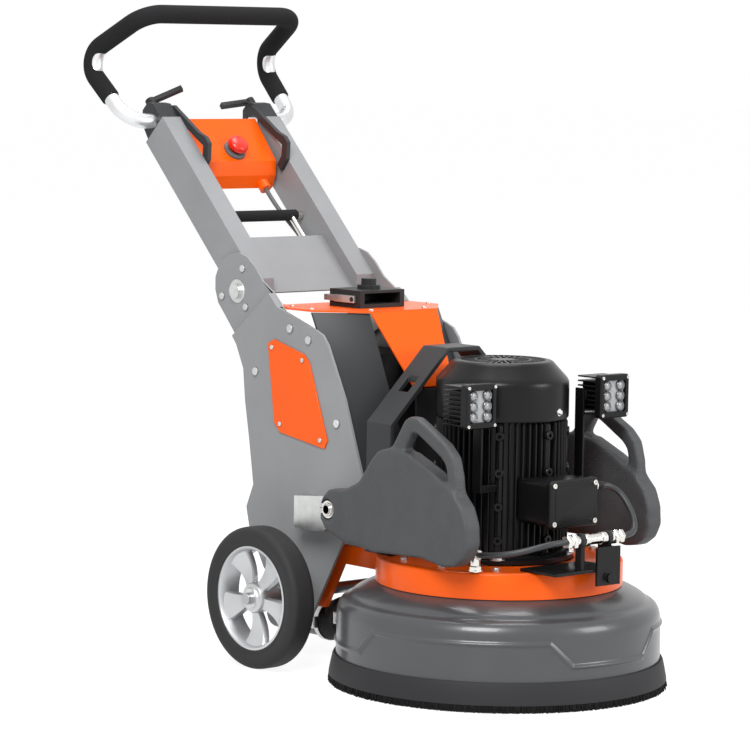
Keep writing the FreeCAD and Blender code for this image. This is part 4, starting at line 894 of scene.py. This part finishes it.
def radial_plates(angles, half, foot, tip, low, high, crown=0.002):
    """Plates that stand out along each angle: a section with a rounded tip, and a top
    and a bottom that slope in by the crown."""
    turn = np.linspace(-np.pi / 2, np.pi / 2, 5)
    section = np.vstack([[(foot, -half)], np.c_[tip - half + half * np.cos(turn),
                                                half * np.sin(turn)], [(foot, half)]])
    levels = [(low, crown * 2), (low + crown * 2, 0), (high - crown * 2, 0),
              (high, crown * 2)]
    shells = []
    for angle in np.radians(angles):
        out = np.array([math.cos(angle), math.sin(angle)])
        side = np.array([-out[1], out[0]])
        rows = []
        for level, drawn in levels:
            reach = np.minimum(section[:, 0], tip - drawn)
            flat = reach[:, None] * out + section[:, 1:] * side
            rows.append(np.c_[flat + (0, HEAD), np.full(len(flat), level)])
        shells.append(stitch(np.array(rows), ends=("first", "last")))
    return joined(*shells)


print("fins", len(fin_angles()))

# %% Motor barrel
BARREL_LINE = [(0.0905, 0.2125), (0.1205, 0.2125), (0.1205, 0.2185), (0.1190, 0.2198),
               (0.1030, 0.2205), (BARREL, 0.2260), (BARREL, 0.4435), (0.0905, 0.4435)]
piece("motor_barrel", lathe(BARREL_LINE, (0, HEAD), steps=128, closed=True),
      "motor_black", "chassis", ["motor_frame"], crease=40)
piece("motor_fins", radial_plates(fin_angles(), 0.0015, 0.096, FIN_TIP, FIN_LOW, FIN_HIGH),
      "motor_black", "chassis")
piece("motor_ribs", radial_plates(RIB_AT, 0.0068, 0.094, FIN_TIP, 0.222, 0.4428, 0.003),
      "motor_black", "chassis")


BOSS_HEIGHTS, BOSS_FOOT = (0.25, 0.305, 0.36, 0.42), 0.1015


def rib_bosses():
    """Round pads up the broad ribs, where brackets can be screwed on: each is a lathe
    with a screw hole, turned to face out along its rib's angle."""
    shells = []
    for angle in np.radians(RIB_AT):
        out = np.array([math.cos(angle), math.sin(angle), 0])
        for height in BOSS_HEIGHTS:
            pad = lathe([(0, 0), (0.0078, 0), (0.0078, 0.0085), (0.0068, 0.0098),
                         (0.0032, 0.0098), (0.0030, 0.004), (0, 0.004)], steps=24)
            spot = out * BOSS_FOOT + (0, HEAD, height)
            shells.append(moved(pad, facing(out, spot)))
    return joined(*shells)


piece("rib_bosses", rib_bosses(), "motor_black", "chassis")
print("ribs", len(RIB_AT))

# %% [markdown]
# ## Fan cover
# A pressed bell over the fan: an upright band, a rolled shoulder and a sloping
# crown. Its flat top is a grille, a fan of bars between a centre disc and a rim, so
# that real daylight passes between them.

# %% Fan cover
COVER_LINE = [(0.1085, 0.4440), (0.1100, 0.4440), (0.1100, 0.4700), (0.1100, 0.4930),
              (0.1094, 0.5030), (0.1062, 0.5085), (0.0985, 0.5165), (0.0890, 0.5268),
              (0.0845, 0.5320), (0.0810, 0.5350), (0.0760, 0.5360), (0.0730, 0.5360)]
PRESSING = 0.0016


def cover_shell():
    """The bell's line smoothed, and its inner line a pressing's thickness in and down."""
    line = spline(np.c_[COVER_LINE, np.zeros(len(COVER_LINE))], 96)[:, :2]
    inner = line[::-1] - (PRESSING, PRESSING)
    return lathe(np.vstack([line, inner]), (0, HEAD), steps=144, closed=True)


def grille():
    """Bars along the rays of a circle, between rings at three radii."""
    rings = [lathe([(a, 0.5340), (b, 0.5340), (b, 0.5358), (a, 0.5358)], (0, HEAD),
                   steps=96, closed=True) for a, b in ((0.0700, 0.0745), (0.0440, 0.0470))]
    centre = lathe([(0, 0.5340), (0.0200, 0.5340), (0.0200, 0.5352), (0.0190, 0.5360),
                    (0, 0.5360)], (0, HEAD), steps=64)
    bars = []
    for degrees in np.arange(0, 360, 9.0):
        angle = math.radians(degrees)
        out = np.array([math.cos(angle), math.sin(angle), 0])
        side = np.array([-out[1], out[0], 0])
        start = 0.0190 if round(degrees) % 18 == 0 else 0.0445
        corners = np.array([(-1, 0.5342), (1, 0.5342), (1, 0.5356), (-1, 0.5356)])
        rows = [out * reach + (0, HEAD, 0) + side * corners[:, :1] * 0.0014
                + np.c_[np.zeros((4, 2)), corners[:, 1]] for reach in (start, 0.0720)]
        bars.append(stitch(np.array(rows), ends=("first", "last")))
    return joined(centre, *rings, *bars)


piece("fan_bell", cover_shell(), "motor_black", "chassis", ["fan_cover"], crease=50)
piece("fan_grille", grille(), "motor_black", "chassis")
screws = [moved(hex_bolt(0.0042, 0.004), facing((spot[0], spot[1] - HEAD, 0), spot))
          for spot in ring_spots(4, 0.1098, 0.4560, -90 + 14)]
piece("fan_bell_screws", joined(*screws), "zinc", "chassis")
print("fan cover")

# %% [markdown]
# ## Terminal box
# A die-cast box on the motor's front has a rounded lid held by four screws. Blocks
# with rolled rims give the casting's soft edges, and a thin one raises the lid's face.

# %% Terminal box
box_low, box_high = (np.array(corner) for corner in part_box("terminal_box"))
LID_DEEP = 0.011
body_box = block(box_low + (0.003, LID_DEEP * 0.8, 0.003), box_high - (0.003, 0, 0.003),
                 0.009, 0.002, "Y")
lid = block(box_low, (box_high[0], box_low[1] + LID_DEEP, box_high[2]), 0.008, 0.0025, "Y")
panel = block(box_low + (0.012, -0.0008, 0.012),
              (box_high[0] - 0.012, box_low[1] + 0.002, box_high[2] - 0.012), 0.004,
              0.0006, "Y")
piece("terminal_box_body", joined(body_box, lid, panel), "motor_black", "chassis",
      ["terminal_box"], crease=45)
LID_SCREW_IN = 0.0085
screws = [moved(socket_screw(0.0044, 0.0032), facing((0, -1, 0), (x, box_low[1], z)))
          for x in (box_low[0] + LID_SCREW_IN, box_high[0] - LID_SCREW_IN)
          for z in (box_low[2] + LID_SCREW_IN, box_high[2] - LID_SCREW_IN)]
piece("lid_screws", joined(*screws), "nickel", "chassis")
print("terminal box", np.round(box_high - box_low, 3))

# %% [markdown]
# ## Gland and couplings
# The cords screw into nickel-plated brass: hexagons with turned collars between
# them. The strain relief at each cord's end is a tapered black sleeve.

# %% Turned bars
def turned_bar(parts, start, direction):
    """Lathed collars and hexagons one after another from the start, along a direction.
    Each part is (shape, length, radius)."""
    shells, along = [], 0.0
    for shape, length, radius in parts:
        if shape == "hex":
            flats = hexagon(radius * 1.1)
            rows = [np.c_[flats * size, np.full(6, level)] for size, level in
                    ((0.9, along), (1, along + 0.0012), (1, along + length - 0.0012),
                     (0.9, along + length))]
            shells.append(stitch(np.array(rows), ends=("first", "last")))
        else:
            shells.append(lathe([(0, along), (radius * 0.93, along),
                                 (radius, along + 0.0007), (radius, along + length - 0.0007),
                                 (radius * 0.93, along + length), (0, along + length)],
                                steps=32))
        along += length
    return moved(joined(*shells), facing(direction, start))


print("turned bars ready")

# %% Couplings
COUPLING_ROW = [("hex", 0.009, 0.0105), ("round", 0.004, 0.0095), ("hex", 0.008, 0.0115),
                ("round", 0.018, 0.0085), ("round", 0.010, 0.0105), ("round", 0.028, 0.0085),
                ("round", 0.010, 0.0105), ("round", 0.018, 0.0085), ("hex", 0.008, 0.0115),
                ("round", 0.004, 0.0095), ("hex", 0.009, 0.0105)]
GLAND = [("round", 0.004, 0.0110), ("hex", 0.008, 0.0100), ("round", 0.007, 0.0080)]
row = turned_bar(COUPLING_ROW, (-0.063, -0.219 + HEAD, 0.264), (1, 0, 0))
gland = turned_bar(GLAND, (0.052, -0.150 + HEAD, 0.338), (1, 0, 0))
foot = block((-0.168, -0.124 + HEAD, 0.212), (-0.150, -0.104 + HEAD, 0.216), 0.004, 0.001)
socket = turned_bar([("hex", 0.012, 0.0095), ("round", 0.006, 0.008)],
                    (-0.160, -0.105 + HEAD, 0.240), (0, -1, 0))
post = turned_bar([("hex", 0.010, 0.0095), ("round", 0.022, 0.0085)],
                  (-0.160, -0.114 + HEAD, 0.212), (0, 0, 1))
piece("nickel_couplings", joined(row, gland, socket, post, foot), "nickel", "chassis",
      ["hose_fittings"], crease=30)
print("coupling row", round(sum(part[1] for part in COUPLING_ROW), 3), "m")


# %% Strain relief and clips
def relief(start, direction, radius, length):
    """A strain relief: ribbed collars that shrink towards the free end."""
    parts = []
    for index in range(5):
        size = radius * (1.45 - 0.09 * index)
        parts += [("round", length / 8, size), ("round", length / 13, size * 0.84)]
    return turned_bar(parts, start, direction)


piece("lead_relief", relief((0.071, -0.150 + HEAD, 0.338), (1, 0, 0), 0.0051, 0.020),
      "black_plastic", "chassis")
clips = [block((x, -0.2305 + HEAD, 0.2525), (x + 0.008, -0.2075 + HEAD, 0.2755), 0.009,
               0.001, "X") for x in (-0.034, 0.026)]
piece("coupling_clips", joined(*clips), "black_plastic", "chassis")
print("clips", len(clips))

# %% [markdown]
# ## Castings
# The two swing-up weights are sand castings with round edges everywhere, where the
# CAD solid has sharp ones. A casting is easiest to get from the solid itself: the
# copy is rebuilt as an even skin of small squares, and then relaxed, so that every
# edge softens by the same few millimetres. Relaxing is done on whole arrays: each
# point moves to the mean of its neighbours, again and again.

# %% Weights
def cast_copy(node, voxel, rounds, name, shade):
    """An even skin over a CAD node, relaxed: each point goes to its neighbours' mean."""
    mesh = frame["nodes"][node].data.copy()
    work = bmesh.new()
    work.from_mesh(mesh)
    bmesh.ops.remove_doubles(work, verts=work.verts, dist=CAD_MERGE)
    work.to_mesh(mesh)
    work.free()
    made = bpy.data.objects.new(name, mesh)
    bpy.context.scene.collection.objects.link(made)
    skin = made.modifiers.new("skin", "REMESH")
    skin.mode = "VOXEL"
    skin.voxel_size = voxel
    graph = bpy.context.evaluated_depsgraph_get()
    even = bpy.data.meshes.new_from_object(made.evaluated_get(graph))
    made.modifiers.clear()
    made.data = even
    points = np.empty(len(even.vertices) * 3)
    even.vertices.foreach_get("co", points)
    points = points.reshape(-1, 3)
    ends = np.empty(len(even.edges) * 2, dtype=np.int64)
    even.edges.foreach_get("vertices", ends)
    first, second = ends.reshape(-1, 2).T
    count = np.bincount(ends, minlength=len(points))[:, None]
    for _ in range(rounds):
        total = np.stack([np.bincount(first, points[second, axis], len(points))
                          + np.bincount(second, points[first, axis], len(points))
                          for axis in range(3)], axis=1)
        points = 0.5 * points + 0.5 * total / count
    even.vertices.foreach_set("co", points.ravel())
    even.shade_smooth()
    even.update()
    paint(made, shade)
    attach(made, BODY_OF[node])
    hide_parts(node)
    print(name, len(even.polygons), "faces")
    return made


SKIN_SQUARE, SKIN_ROUNDS = 0.0022, 22
for hand in ("right", "left"):
    cast_copy(hand + "_weight", SKIN_SQUARE, SKIN_ROUNDS, hand + "_casting", "cast_weight")

# %% [markdown]
# ## Wheels
# The tyre is solid rubber on a cast aluminium centre with five broad spokes. The
# tyre and the rim's band are lathes about the axle, and a spoke is a loft whose
# width swells towards the rim and whose face is dished.

# %% Tyre
wheel_low, wheel_high = (np.array(corner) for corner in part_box("right_tyre"))
AXLE_AT = (wheel_low[1:] + wheel_high[1:]) / 2
WHEEL_IN, WHEEL_OUT = wheel_low[0], wheel_high[0]
TYRE_R = (wheel_high[2] - wheel_low[2]) / 2
RIM_R = 0.087


def tyre_shell():
    """The tread's section: flat tread, round shoulders, and a bead seat lip each side."""
    half = (WHEEL_OUT - WHEEL_IN) / 2
    side = [(RIM_R, 0.80), (RIM_R + 0.003, 0.90), (RIM_R + 0.005, 0.93),
            (RIM_R + 0.0065, 0.90), (RIM_R + 0.010, 0.93), (TYRE_R - 0.016, 1.0),
            (TYRE_R - 0.008, 0.97), (TYRE_R - 0.0025, 0.82), (TYRE_R, 0.60), (TYRE_R, 0)]
    line = [(r, half * w) for r, w in side] + [(r, -half * w) for r, w in side[-2::-1]]
    curve = spline(np.c_[line, np.zeros(len(line))], 100)[:, :2]
    middle = (WHEEL_IN + WHEEL_OUT) / 2
    return lathe(curve + (0, middle), AXLE_AT, "X", 144, closed=True)


print("tyre", round(WHEEL_OUT - WHEEL_IN, 3), "m wide")

# %% Rim
SPOKES, SPOKE_AT = 5, 126   # the first spoke's angle, so that one points straight down


def rim_shell():
    """Band, hub and five dished spokes, each a loft along its own ray."""
    out = WHEEL_OUT
    band = lathe([(RIM_R + 0.0005, out - 0.0045), (RIM_R - 0.003, out - 0.004),
                  (RIM_R - 0.0055, out - 0.008), (RIM_R - 0.008, out - 0.018),
                  (RIM_R - 0.009, out - 0.030), (RIM_R - 0.0075, WHEEL_IN + 0.006),
                  (RIM_R - 0.003, WHEEL_IN + 0.004), (RIM_R + 0.0005, WHEEL_IN + 0.0045)],
                 AXLE_AT, "X", 144, closed=True)
    hub = lathe([(0.0108, out - 0.004), (0.0165, out - 0.004), (0.0175, out - 0.005),
                 (0.0185, out - 0.0065), (0.024, out - 0.0075), (0.0255, out - 0.010),
                 (0.0265, out - 0.020), (0.0235, WHEEL_IN), (0.0108, WHEEL_IN - 0.004)],
                AXLE_AT, "X", 72, closed=True)
    reach = np.linspace(0.018, RIM_R - 0.004, 15)
    part = (reach - reach[0]) / (reach[-1] - reach[0])
    half = 0.0098 + 0.0185 * part**1.5
    dish = out - 0.0095 - 0.0095 * np.sin(part * np.pi) ** 0.8
    spokes = []
    for index in range(SPOKES):
        angle = math.radians(SPOKE_AT + 360 / SPOKES * index)
        ray = np.array([math.cos(angle), math.sin(angle)])
        side = np.array([-ray[1], ray[0]])
        section = np.array([(-1, -0.9), (-0.97, -0.35), (-0.86, -0.06), (-0.5, 0),
                            (0, 0.03), (0.5, 0), (0.86, -0.06), (0.97, -0.35), (1, -0.9)])
        rows = []
        for far, wide, face in zip(reach, half, dish):
            flat = ray * far + side * (section[:, :1] * wide) + AXLE_AT
            rows.append(np.c_[face + section[:, 1] * 0.013, flat])
        spokes.append(stitch(np.array(rows), ends=("first", "last")))
    return joined(band, hub, *spokes)


def hub_cap():
    """A washer and a hexagon head on the wheel's outer face, along the axle."""
    washer = lathe([(0, 0), (0.0165, 0), (0.0165, 0.0018), (0, 0.0018)], steps=40)
    bolt = moved(hex_bolt(0.0095, 0.0075, washer=False), lambda spots: spots + (0, 0, 0.0018))
    return moved(joined(washer, bolt), facing((1, 0, 0), (WHEEL_OUT - 0.0045, *AXLE_AT)))


print("spokes", SPOKES)

# %% Both wheels
for hand, turned in (("right", joined), ("left", mirrored)):
    body = "wheel_" + hand
    piece(hand + "_tread", turned(tyre_shell()), "tyre_rubber", body, [hand + "_tyre"],
          crease=60)
    piece(hand + "_spoked_rim", turned(rim_shell()), "cast_aluminium", body,
          [hand + "_rim"], crease=38)
    piece(hand + "_hub_bolt", turned(hub_cap()), "zinc", "chassis")
print("wheels at", np.round(AXLE_AT, 3), "radius", round(TYRE_R, 3))

# %% [markdown]
# ## Work lamps
# Each lamp is a finned die-cast cube with a screwed frame round its window. Behind
# the window six small lenses sit in two columns over a pale plate. Such small lenses
# need no refraction, so they are glossy grey domes in brighter cups.

# %% Lamp finishes
finish("lens", (0.30, 0.31, 0.32), 0.08, mottle=0.02, bump=0.0, glint=0.7)
finish("lamp_plate", (0.42, 0.43, 0.44), 0.35, mottle=0.02, bump=0.0)
finish("lens_ring", (0.16, 0.165, 0.17), 0.25, metal=0.6, mottle=0.02, bump=0.0)
print("lamp finishes", len(SHADES))

# %% Work lamps
FIN_COUNT, EYE_WIDE = 9, 0.015


def lamp_pieces(hand):
    """The frame is a loft from the rim's outline to the window's, and behind it stand
    a core, even fins and the lug that the lamp tilts on, on the machine's inner side."""
    low, high = (np.array(corner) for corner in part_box(hand + "_lamp"))
    middle = (low[2] + high[2]) / 2
    x0, x1 = low[0], high[0]
    eye = (x0, x0 + EYE_WIDE) if hand == "right" else (x1 - EYE_WIDE, x1)
    rim = rounded([(x0, low[2]), (x1, low[2]), (x1, high[2]), (x0, high[2])], 0.006)
    well = rounded([(x0 + 0.008, low[2] + 0.010), (x1 - 0.008, low[2] + 0.010),
                    (x1 - 0.008, high[2] - 0.010), (x0 + 0.008, high[2] - 0.010)], 0.003)
    levels = [(rim, 0.016, 0.003), (rim, 0.014, 0), (rim, 0.002, 0), (rim, 0, 0.002),
              (well, 0, -0.001), (well, 0.001, 0), (well, 0.0075, 0)]
    rows = np.array([np.c_[inset(line, sink)[:, 0], np.full(len(line), low[1] + deep),
                           inset(line, sink)[:, 1]] for line, deep, sink in levels])
    frame_shell = stitch(rows, ends=("first", "last"))
    core = block((x0 + 0.012, low[1] + 0.012, low[2] + 0.012),
                 (x1 - 0.012, high[1] - 0.004, high[2] - 0.012), 0.004, 0.001, "Y")
    fins = [block((x0 + 0.003, low[1] + 0.013, z), (x1 - 0.003, high[1], z + 0.0026),
                  0.003, 0.0008)
            for z in np.linspace(low[2] + 0.004, high[2] - 0.0066, FIN_COUNT)]
    lug = block((eye[0], low[1] + 0.036, middle - 0.009), (eye[1], low[1] + 0.056,
                                                            middle + 0.009), 0.006, 0.001, "X")
    piece(hand + "_lamp_case", joined(frame_shell, core, *fins, lug), "motor_black",
          "lamp_" + hand, [hand + "_lamp"], crease=40)
    window_lenses(hand, x0, x1, low, high)
    screws = [moved(socket_screw(0.0028, 0.0016), facing((0, -1, 0), (x, low[1], z)))
              for x in (x0 + 0.0048, x1 - 0.0048)
              for z in (low[2] + 0.0052, high[2] - 0.0052)]
    piece(hand + "_lamp_screws", joined(*screws), "nickel", "lamp_" + hand)


def window_lenses(hand, x0, x1, low, high):
    """A bright plate, six round cups in two columns, and a clear dome in each."""
    plate = block((x0 + 0.0082, low[1] + 0.0062, low[2] + 0.0102),
                  (x1 - 0.0082, low[1] + 0.0078, high[2] - 0.0102), 0.002, 0.0003, "Y")
    piece(hand + "_lamp_plate", plate, "lamp_plate", "lamp_" + hand)
    cups, domes = [], []
    for x in np.linspace(x0, x1, 5)[[1, 3]] + np.array([0.0015, -0.0015]):
        for z in np.linspace(low[2] + 0.019, high[2] - 0.019, 3):
            spot = (x, low[1] + 0.0066, z)
            cup = lathe([(0.0040, 0.0004), (0.0070, 0.0042), (0.0080, 0.0050),
                         (0.0086, 0.0042), (0.0084, 0), (0.0040, 0)], steps=36, closed=True)
            cups.append(moved(cup, facing((0, -1, 0), spot)))
            turn = np.linspace(0, np.pi / 2, 8)
            dome = lathe(np.c_[0.0066 * np.cos(turn), 0.0016 + 0.0034 * np.sin(turn)],
                         steps=32)
            domes.append(moved(dome, facing((0, -1, 0), spot)))
    piece(hand + "_lamp_cups", joined(*cups), "lens_ring", "lamp_" + hand)
    piece(hand + "_lamp_lenses", joined(*domes), "lens", "lamp_" + hand, crease=70)


for hand in ("right", "left"):
    lamp_pieces(hand)
print("work lamps")

# %% [markdown]
# ## Handlebar
# One bent aluminium tube, satin where it is bare, with a long foam sleeve over the
# part that the hands reach. Both follow the same smooth path of straight runs and
# bends.

# %% Handlebar
ARM_INNER = 0.0946
BAR_AT = on_arms([(0, -0.022, 0.380)])[0]
BAR_CORNERS = np.array([(0.190, 0, 0), (0.203, 0.117, 0.108), (0.172, -0.025, 0.189)])
TUBE_R, GRIP_R, BEND_R = 0.0135, 0.0165, 0.045
SLEEVE_FROM = 0.36
near = np.vstack([[(ARM_INNER, 0, 0)], BAR_CORNERS])
far = near[::-1] * (-1, 1, 1)
bar_path = smooth_path(np.vstack([near, far]) + BAR_AT, BEND_R, 14)
sleeve_start = BAR_CORNERS[0] + (BAR_CORNERS[1] - BAR_CORNERS[0]) * SLEEVE_FROM
near = np.vstack([sleeve_start, BAR_CORNERS[1:]])
grip_path = smooth_path(np.vstack([near, near[::-1] * (-1, 1, 1)]) + BAR_AT, BEND_R, 14)


def rounded_ends(path, radius, reach=0.004):
    """The path with extra points near its ends, and radii that roll over there."""
    lead = path[0] + (path[1] - path[0]) / np.linalg.norm(path[1] - path[0]) * np.array(
        [[0.0], [0.2], [0.6], [1.0]]) * reach
    tail = path[-1] + (path[-2] - path[-1]) / np.linalg.norm(path[-2] - path[-1]) * np.array(
        [[1.0], [0.6], [0.2], [0.0]]) * reach
    whole = np.vstack([lead, path[1:-1], tail])
    size = np.full(len(whole), radius)
    size[:4] = radius * np.array([0.86, 0.95, 0.99, 1])
    size[-4:] = size[:4][::-1]
    return whole, size


piece("bare_tube", sweep(bar_path, TUBE_R, 32), "satin_aluminium", "handlebar",
      ["handlebar_tube"], crease=50)
sleeve_path, sleeve_size = rounded_ends(grip_path, GRIP_R)
piece("foam_sleeve", sweep(sleeve_path, GRIP_R, 32, sleeve_size), "foam", "handlebar",
      ["handlebar_grip"], crease=60)
print("bar", len(bar_path), "points")

# %% [markdown]
# ## Stop button and release bar
# The mushroom button is a lathe about the line square to the box's face, with a grey
# collar under it. The release bar is a plated rod with a black sleeve, carried by two
# thinner rods between the arms.

# %% Stop button
def arms_change(shell):
    """A shell drawn in the arms' own axes, put where the arms lean."""
    return moved(shell, on_arms)


STOP_AT, STOP_BASE = 0.298, -0.032
head = lathe([(0, -0.0245), (0.008, -0.0245), (0.0145, -0.0232), (0.0180, -0.0200),
              (0.0190, -0.0160), (0.0185, -0.0120), (0.0160, -0.0100), (0.0098, -0.0095),
              (0.0098, 0.010), (0, 0.010)], centre=(STOP_AT, 0), axis="Y", steps=64)
piece("stop_mushroom", arms_change(moved(head, lambda q: q + (0, STOP_BASE, 0))),
      "stop_red", "stop", ["stop_button"], crease=40)
ring = lathe([(0.0125, -0.0050), (0.0190, -0.0050), (0.0205, -0.0042), (0.0210, -0.0030),
              (0.0210, 0.0005), (0.0125, 0.0005)], centre=(STOP_AT, 0), axis="Y", steps=64,
             closed=True)
piece("stop_collar", arms_change(moved(ring, lambda q: q + (0, STOP_BASE, 0))),
      "cable_grey", "handle", crease=40)
print("stop button", STOP_AT, "m up the arms")

# %% Release bar
BAR_ACROSS, BAR_ALONG = -0.010, 0.161
ROD_R, LEG_R, SLEEVE_R = 0.0065, 0.0058, 0.010
rod_points = np.array([(-0.090, BAR_ACROSS, BAR_ALONG), (0.090, BAR_ACROSS, BAR_ALONG)])
cross_rod, cross_size = rounded_ends(rod_points, ROD_R, 0.0015)
legs = [sweep([(x, BAR_ACROSS, 0.050), (x, BAR_ACROSS, BAR_ALONG)], LEG_R, 24)
        for x in (-0.066, 0.066)]
piece("plated_bar", arms_change(joined(sweep(cross_rod, ROD_R, 24, cross_size), *legs)),
      "nickel", "release", ["release_bar"], crease=40)
sleeve_points, sleeve_radii = rounded_ends(np.array([(-0.078, BAR_ACROSS, BAR_ALONG),
                                                     (0.078, BAR_ACROSS, BAR_ALONG)]),
                                           SLEEVE_R, 0.002)
piece("bar_sleeve", arms_change(sweep(sleeve_points, SLEEVE_R, 28, sleeve_radii)), "foam",
      "release", crease=50)
print("release bar", BAR_ALONG, "m up the arms")

# %% [markdown]
# ## Dust hose
# A corrugated rubber hose drops from the hood's port to the steel outlet pipe under
# the frame. It is a sweep whose radius rises and falls along the path, and a
# worm-drive clamp closes each end.

# %% Dust hose
PORT = np.array([-0.070, 0.276 + HEAD, 0.078])
PIPE = np.array([-0.070, 0.352 + HEAD, 0.062])
PIPE_END = 0.480 + HEAD
hose_line = spline([PORT, PORT + (0, 0.025, 0), PIPE - (0, 0.024, 0), PIPE], 92)
hose_run = np.r_[0, np.cumsum(np.linalg.norm(np.diff(hose_line, axis=0), axis=1))]
RIB_PITCH, RIB_DEEP, HOSE_R = 0.0056, 0.0012, 0.0325
hose_size = HOSE_R + RIB_DEEP * np.sin(hose_run / RIB_PITCH * 2 * np.pi)
piece("corrugated_hose", sweep(hose_line, HOSE_R, 48, hose_size), "hose_rubber", "chassis",
      ["dust_outlet"], crease=70)
pipe = lathe([(0.027, PIPE[1] - 0.004), (0.030, PIPE[1] - 0.004), (0.030, PIPE_END - 0.006),
              (0.0306, PIPE_END - 0.004), (0.0306, PIPE_END - 0.0008), (0.0298, PIPE_END),
              (0.0278, PIPE_END), (0.027, PIPE_END - 0.001)], (PIPE[2], PIPE[0]), "Y", 72,
             closed=True)
strap = block((-0.080, 0.442 + HEAD, 0.090), (-0.060, 0.447 + HEAD, 0.205), 0.002, 0.0008)
band = lathe([(0.0301, 0.4375 + HEAD), (0.0322, 0.438 + HEAD), (0.0322, 0.453 + HEAD),
              (0.0301, 0.4535 + HEAD)], (PIPE[2], PIPE[0]), "Y", 64, closed=True)
piece("outlet_pipe", joined(pipe, strap, band), "grey_paint", "chassis", crease=40)


def hose_clamp(centre, along):
    """A thin band round the hose and the block that holds its screw."""
    ring = lathe([(0.0342, -0.005), (0.0350, -0.0048), (0.0350, 0.0048), (0.0342, 0.005)],
                 (centre[2], centre[0]), "Y", 64, closed=True)
    ring = moved(ring, lambda spots: spots + (0, along, 0))
    screw_box = block((centre[0] - 0.043, along - 0.006, centre[2] - 0.010),
                      (centre[0] - 0.033, along + 0.006, centre[2] + 0.010), 0.003, 0.001)
    return joined(ring, screw_box)


piece("hose_clamps", joined(hose_clamp(PORT, PORT[1] + 0.007),
                            hose_clamp(PIPE, PIPE[1] - 0.008)), "zinc", "chassis")
print("dust hose", round(float(hose_run[-1]), 3), "m")

# %% [markdown]
# ## Fasteners and small fittings
# Small hardware tells the size of a machine. Cap screws hold the orange lid, spring
# rings hold the weights' pins, and a bolt goes through each of the handle's pivots.

# %% Hood screws
hood_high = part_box("hood")[1][2]
spots = [(x, y + HEAD, hood_high) for x in (-0.118, 0.118) for y in (0.400, 0.428)]
spots += [(x, 0.332 + HEAD, hood_high) for x in (-0.132, 0.132)]
spots += [(x, 0.262 + HEAD, hood_high) for x in (-0.060, 0.060)]
screws = [moved(socket_screw(0.0042, 0.0026), facing((0, 0, 1), spot)) for spot in spots]
piece("hood_screws", joined(*screws), "zinc", "chassis")
print("hood screws", len(screws))

# %% Pivot bolts
BRACKET_OUT = 0.139
bolts = []
for side in (-1, 1):
    spot = (side * BRACKET_OUT, PIVOT[1], PIVOT[2])
    bolts.append(moved(hex_bolt(0.0105, 0.008), facing((side, 0, 0), spot)))
    bolts.append(moved(lathe([(0, 0), (0.0205, 0), (0.0205, 0.0016), (0.0198, 0.0022),
                              (0, 0.0022)], steps=48), facing((side, 0, 0), spot)))
piece("pivot_bolts", joined(*bolts), "zinc", "chassis")
print("pivot bolts", 2)

# %% Weight pins
PIN_AT = next(joint["pos_m"] for joint in frame["joints"]
              if joint["name"] == "weight_right_lift")
PIN_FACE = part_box("right_weight")[1][0] - 0.006


def weight_pin():
    """A pin end with a groove, a spring ring in the groove, and a washer behind it."""
    pin = lathe([(0, 0.004), (0.0080, 0.004), (0.0080, 0.0005), (0.0072, 0),
                 (0, 0)], steps=40)
    pin = moved(pin, lambda spots: spots * (1, 1, -1) + (0, 0, 0.004))
    washer = lathe([(0, -0.0015), (0.0145, -0.0015), (0.0145, 0.0002), (0, 0.0002)],
                   steps=48)
    turn = np.linspace(0.5, 2 * np.pi - 0.1, 40)
    loop = np.c_[0.0105 * np.cos(turn), 0.0105 * np.sin(turn), np.full(40, 0.0022)]
    shell = joined(pin, washer, sweep(loop, 0.0011, 10))
    return moved(shell, facing((1, 0, 0), (PIN_FACE, PIN_AT[1], PIN_AT[2])))


piece("right_pin_clip", weight_pin(), "nickel", "chassis")
piece("left_pin_clip", mirrored(weight_pin()), "nickel", "chassis")
print("pins at", [round(float(value), 3) for value in PIN_AT])

# %% [markdown]
# ## Pieces made
# The finished pieces are counted.

# %% Count
print("new pieces", len(PIECES))
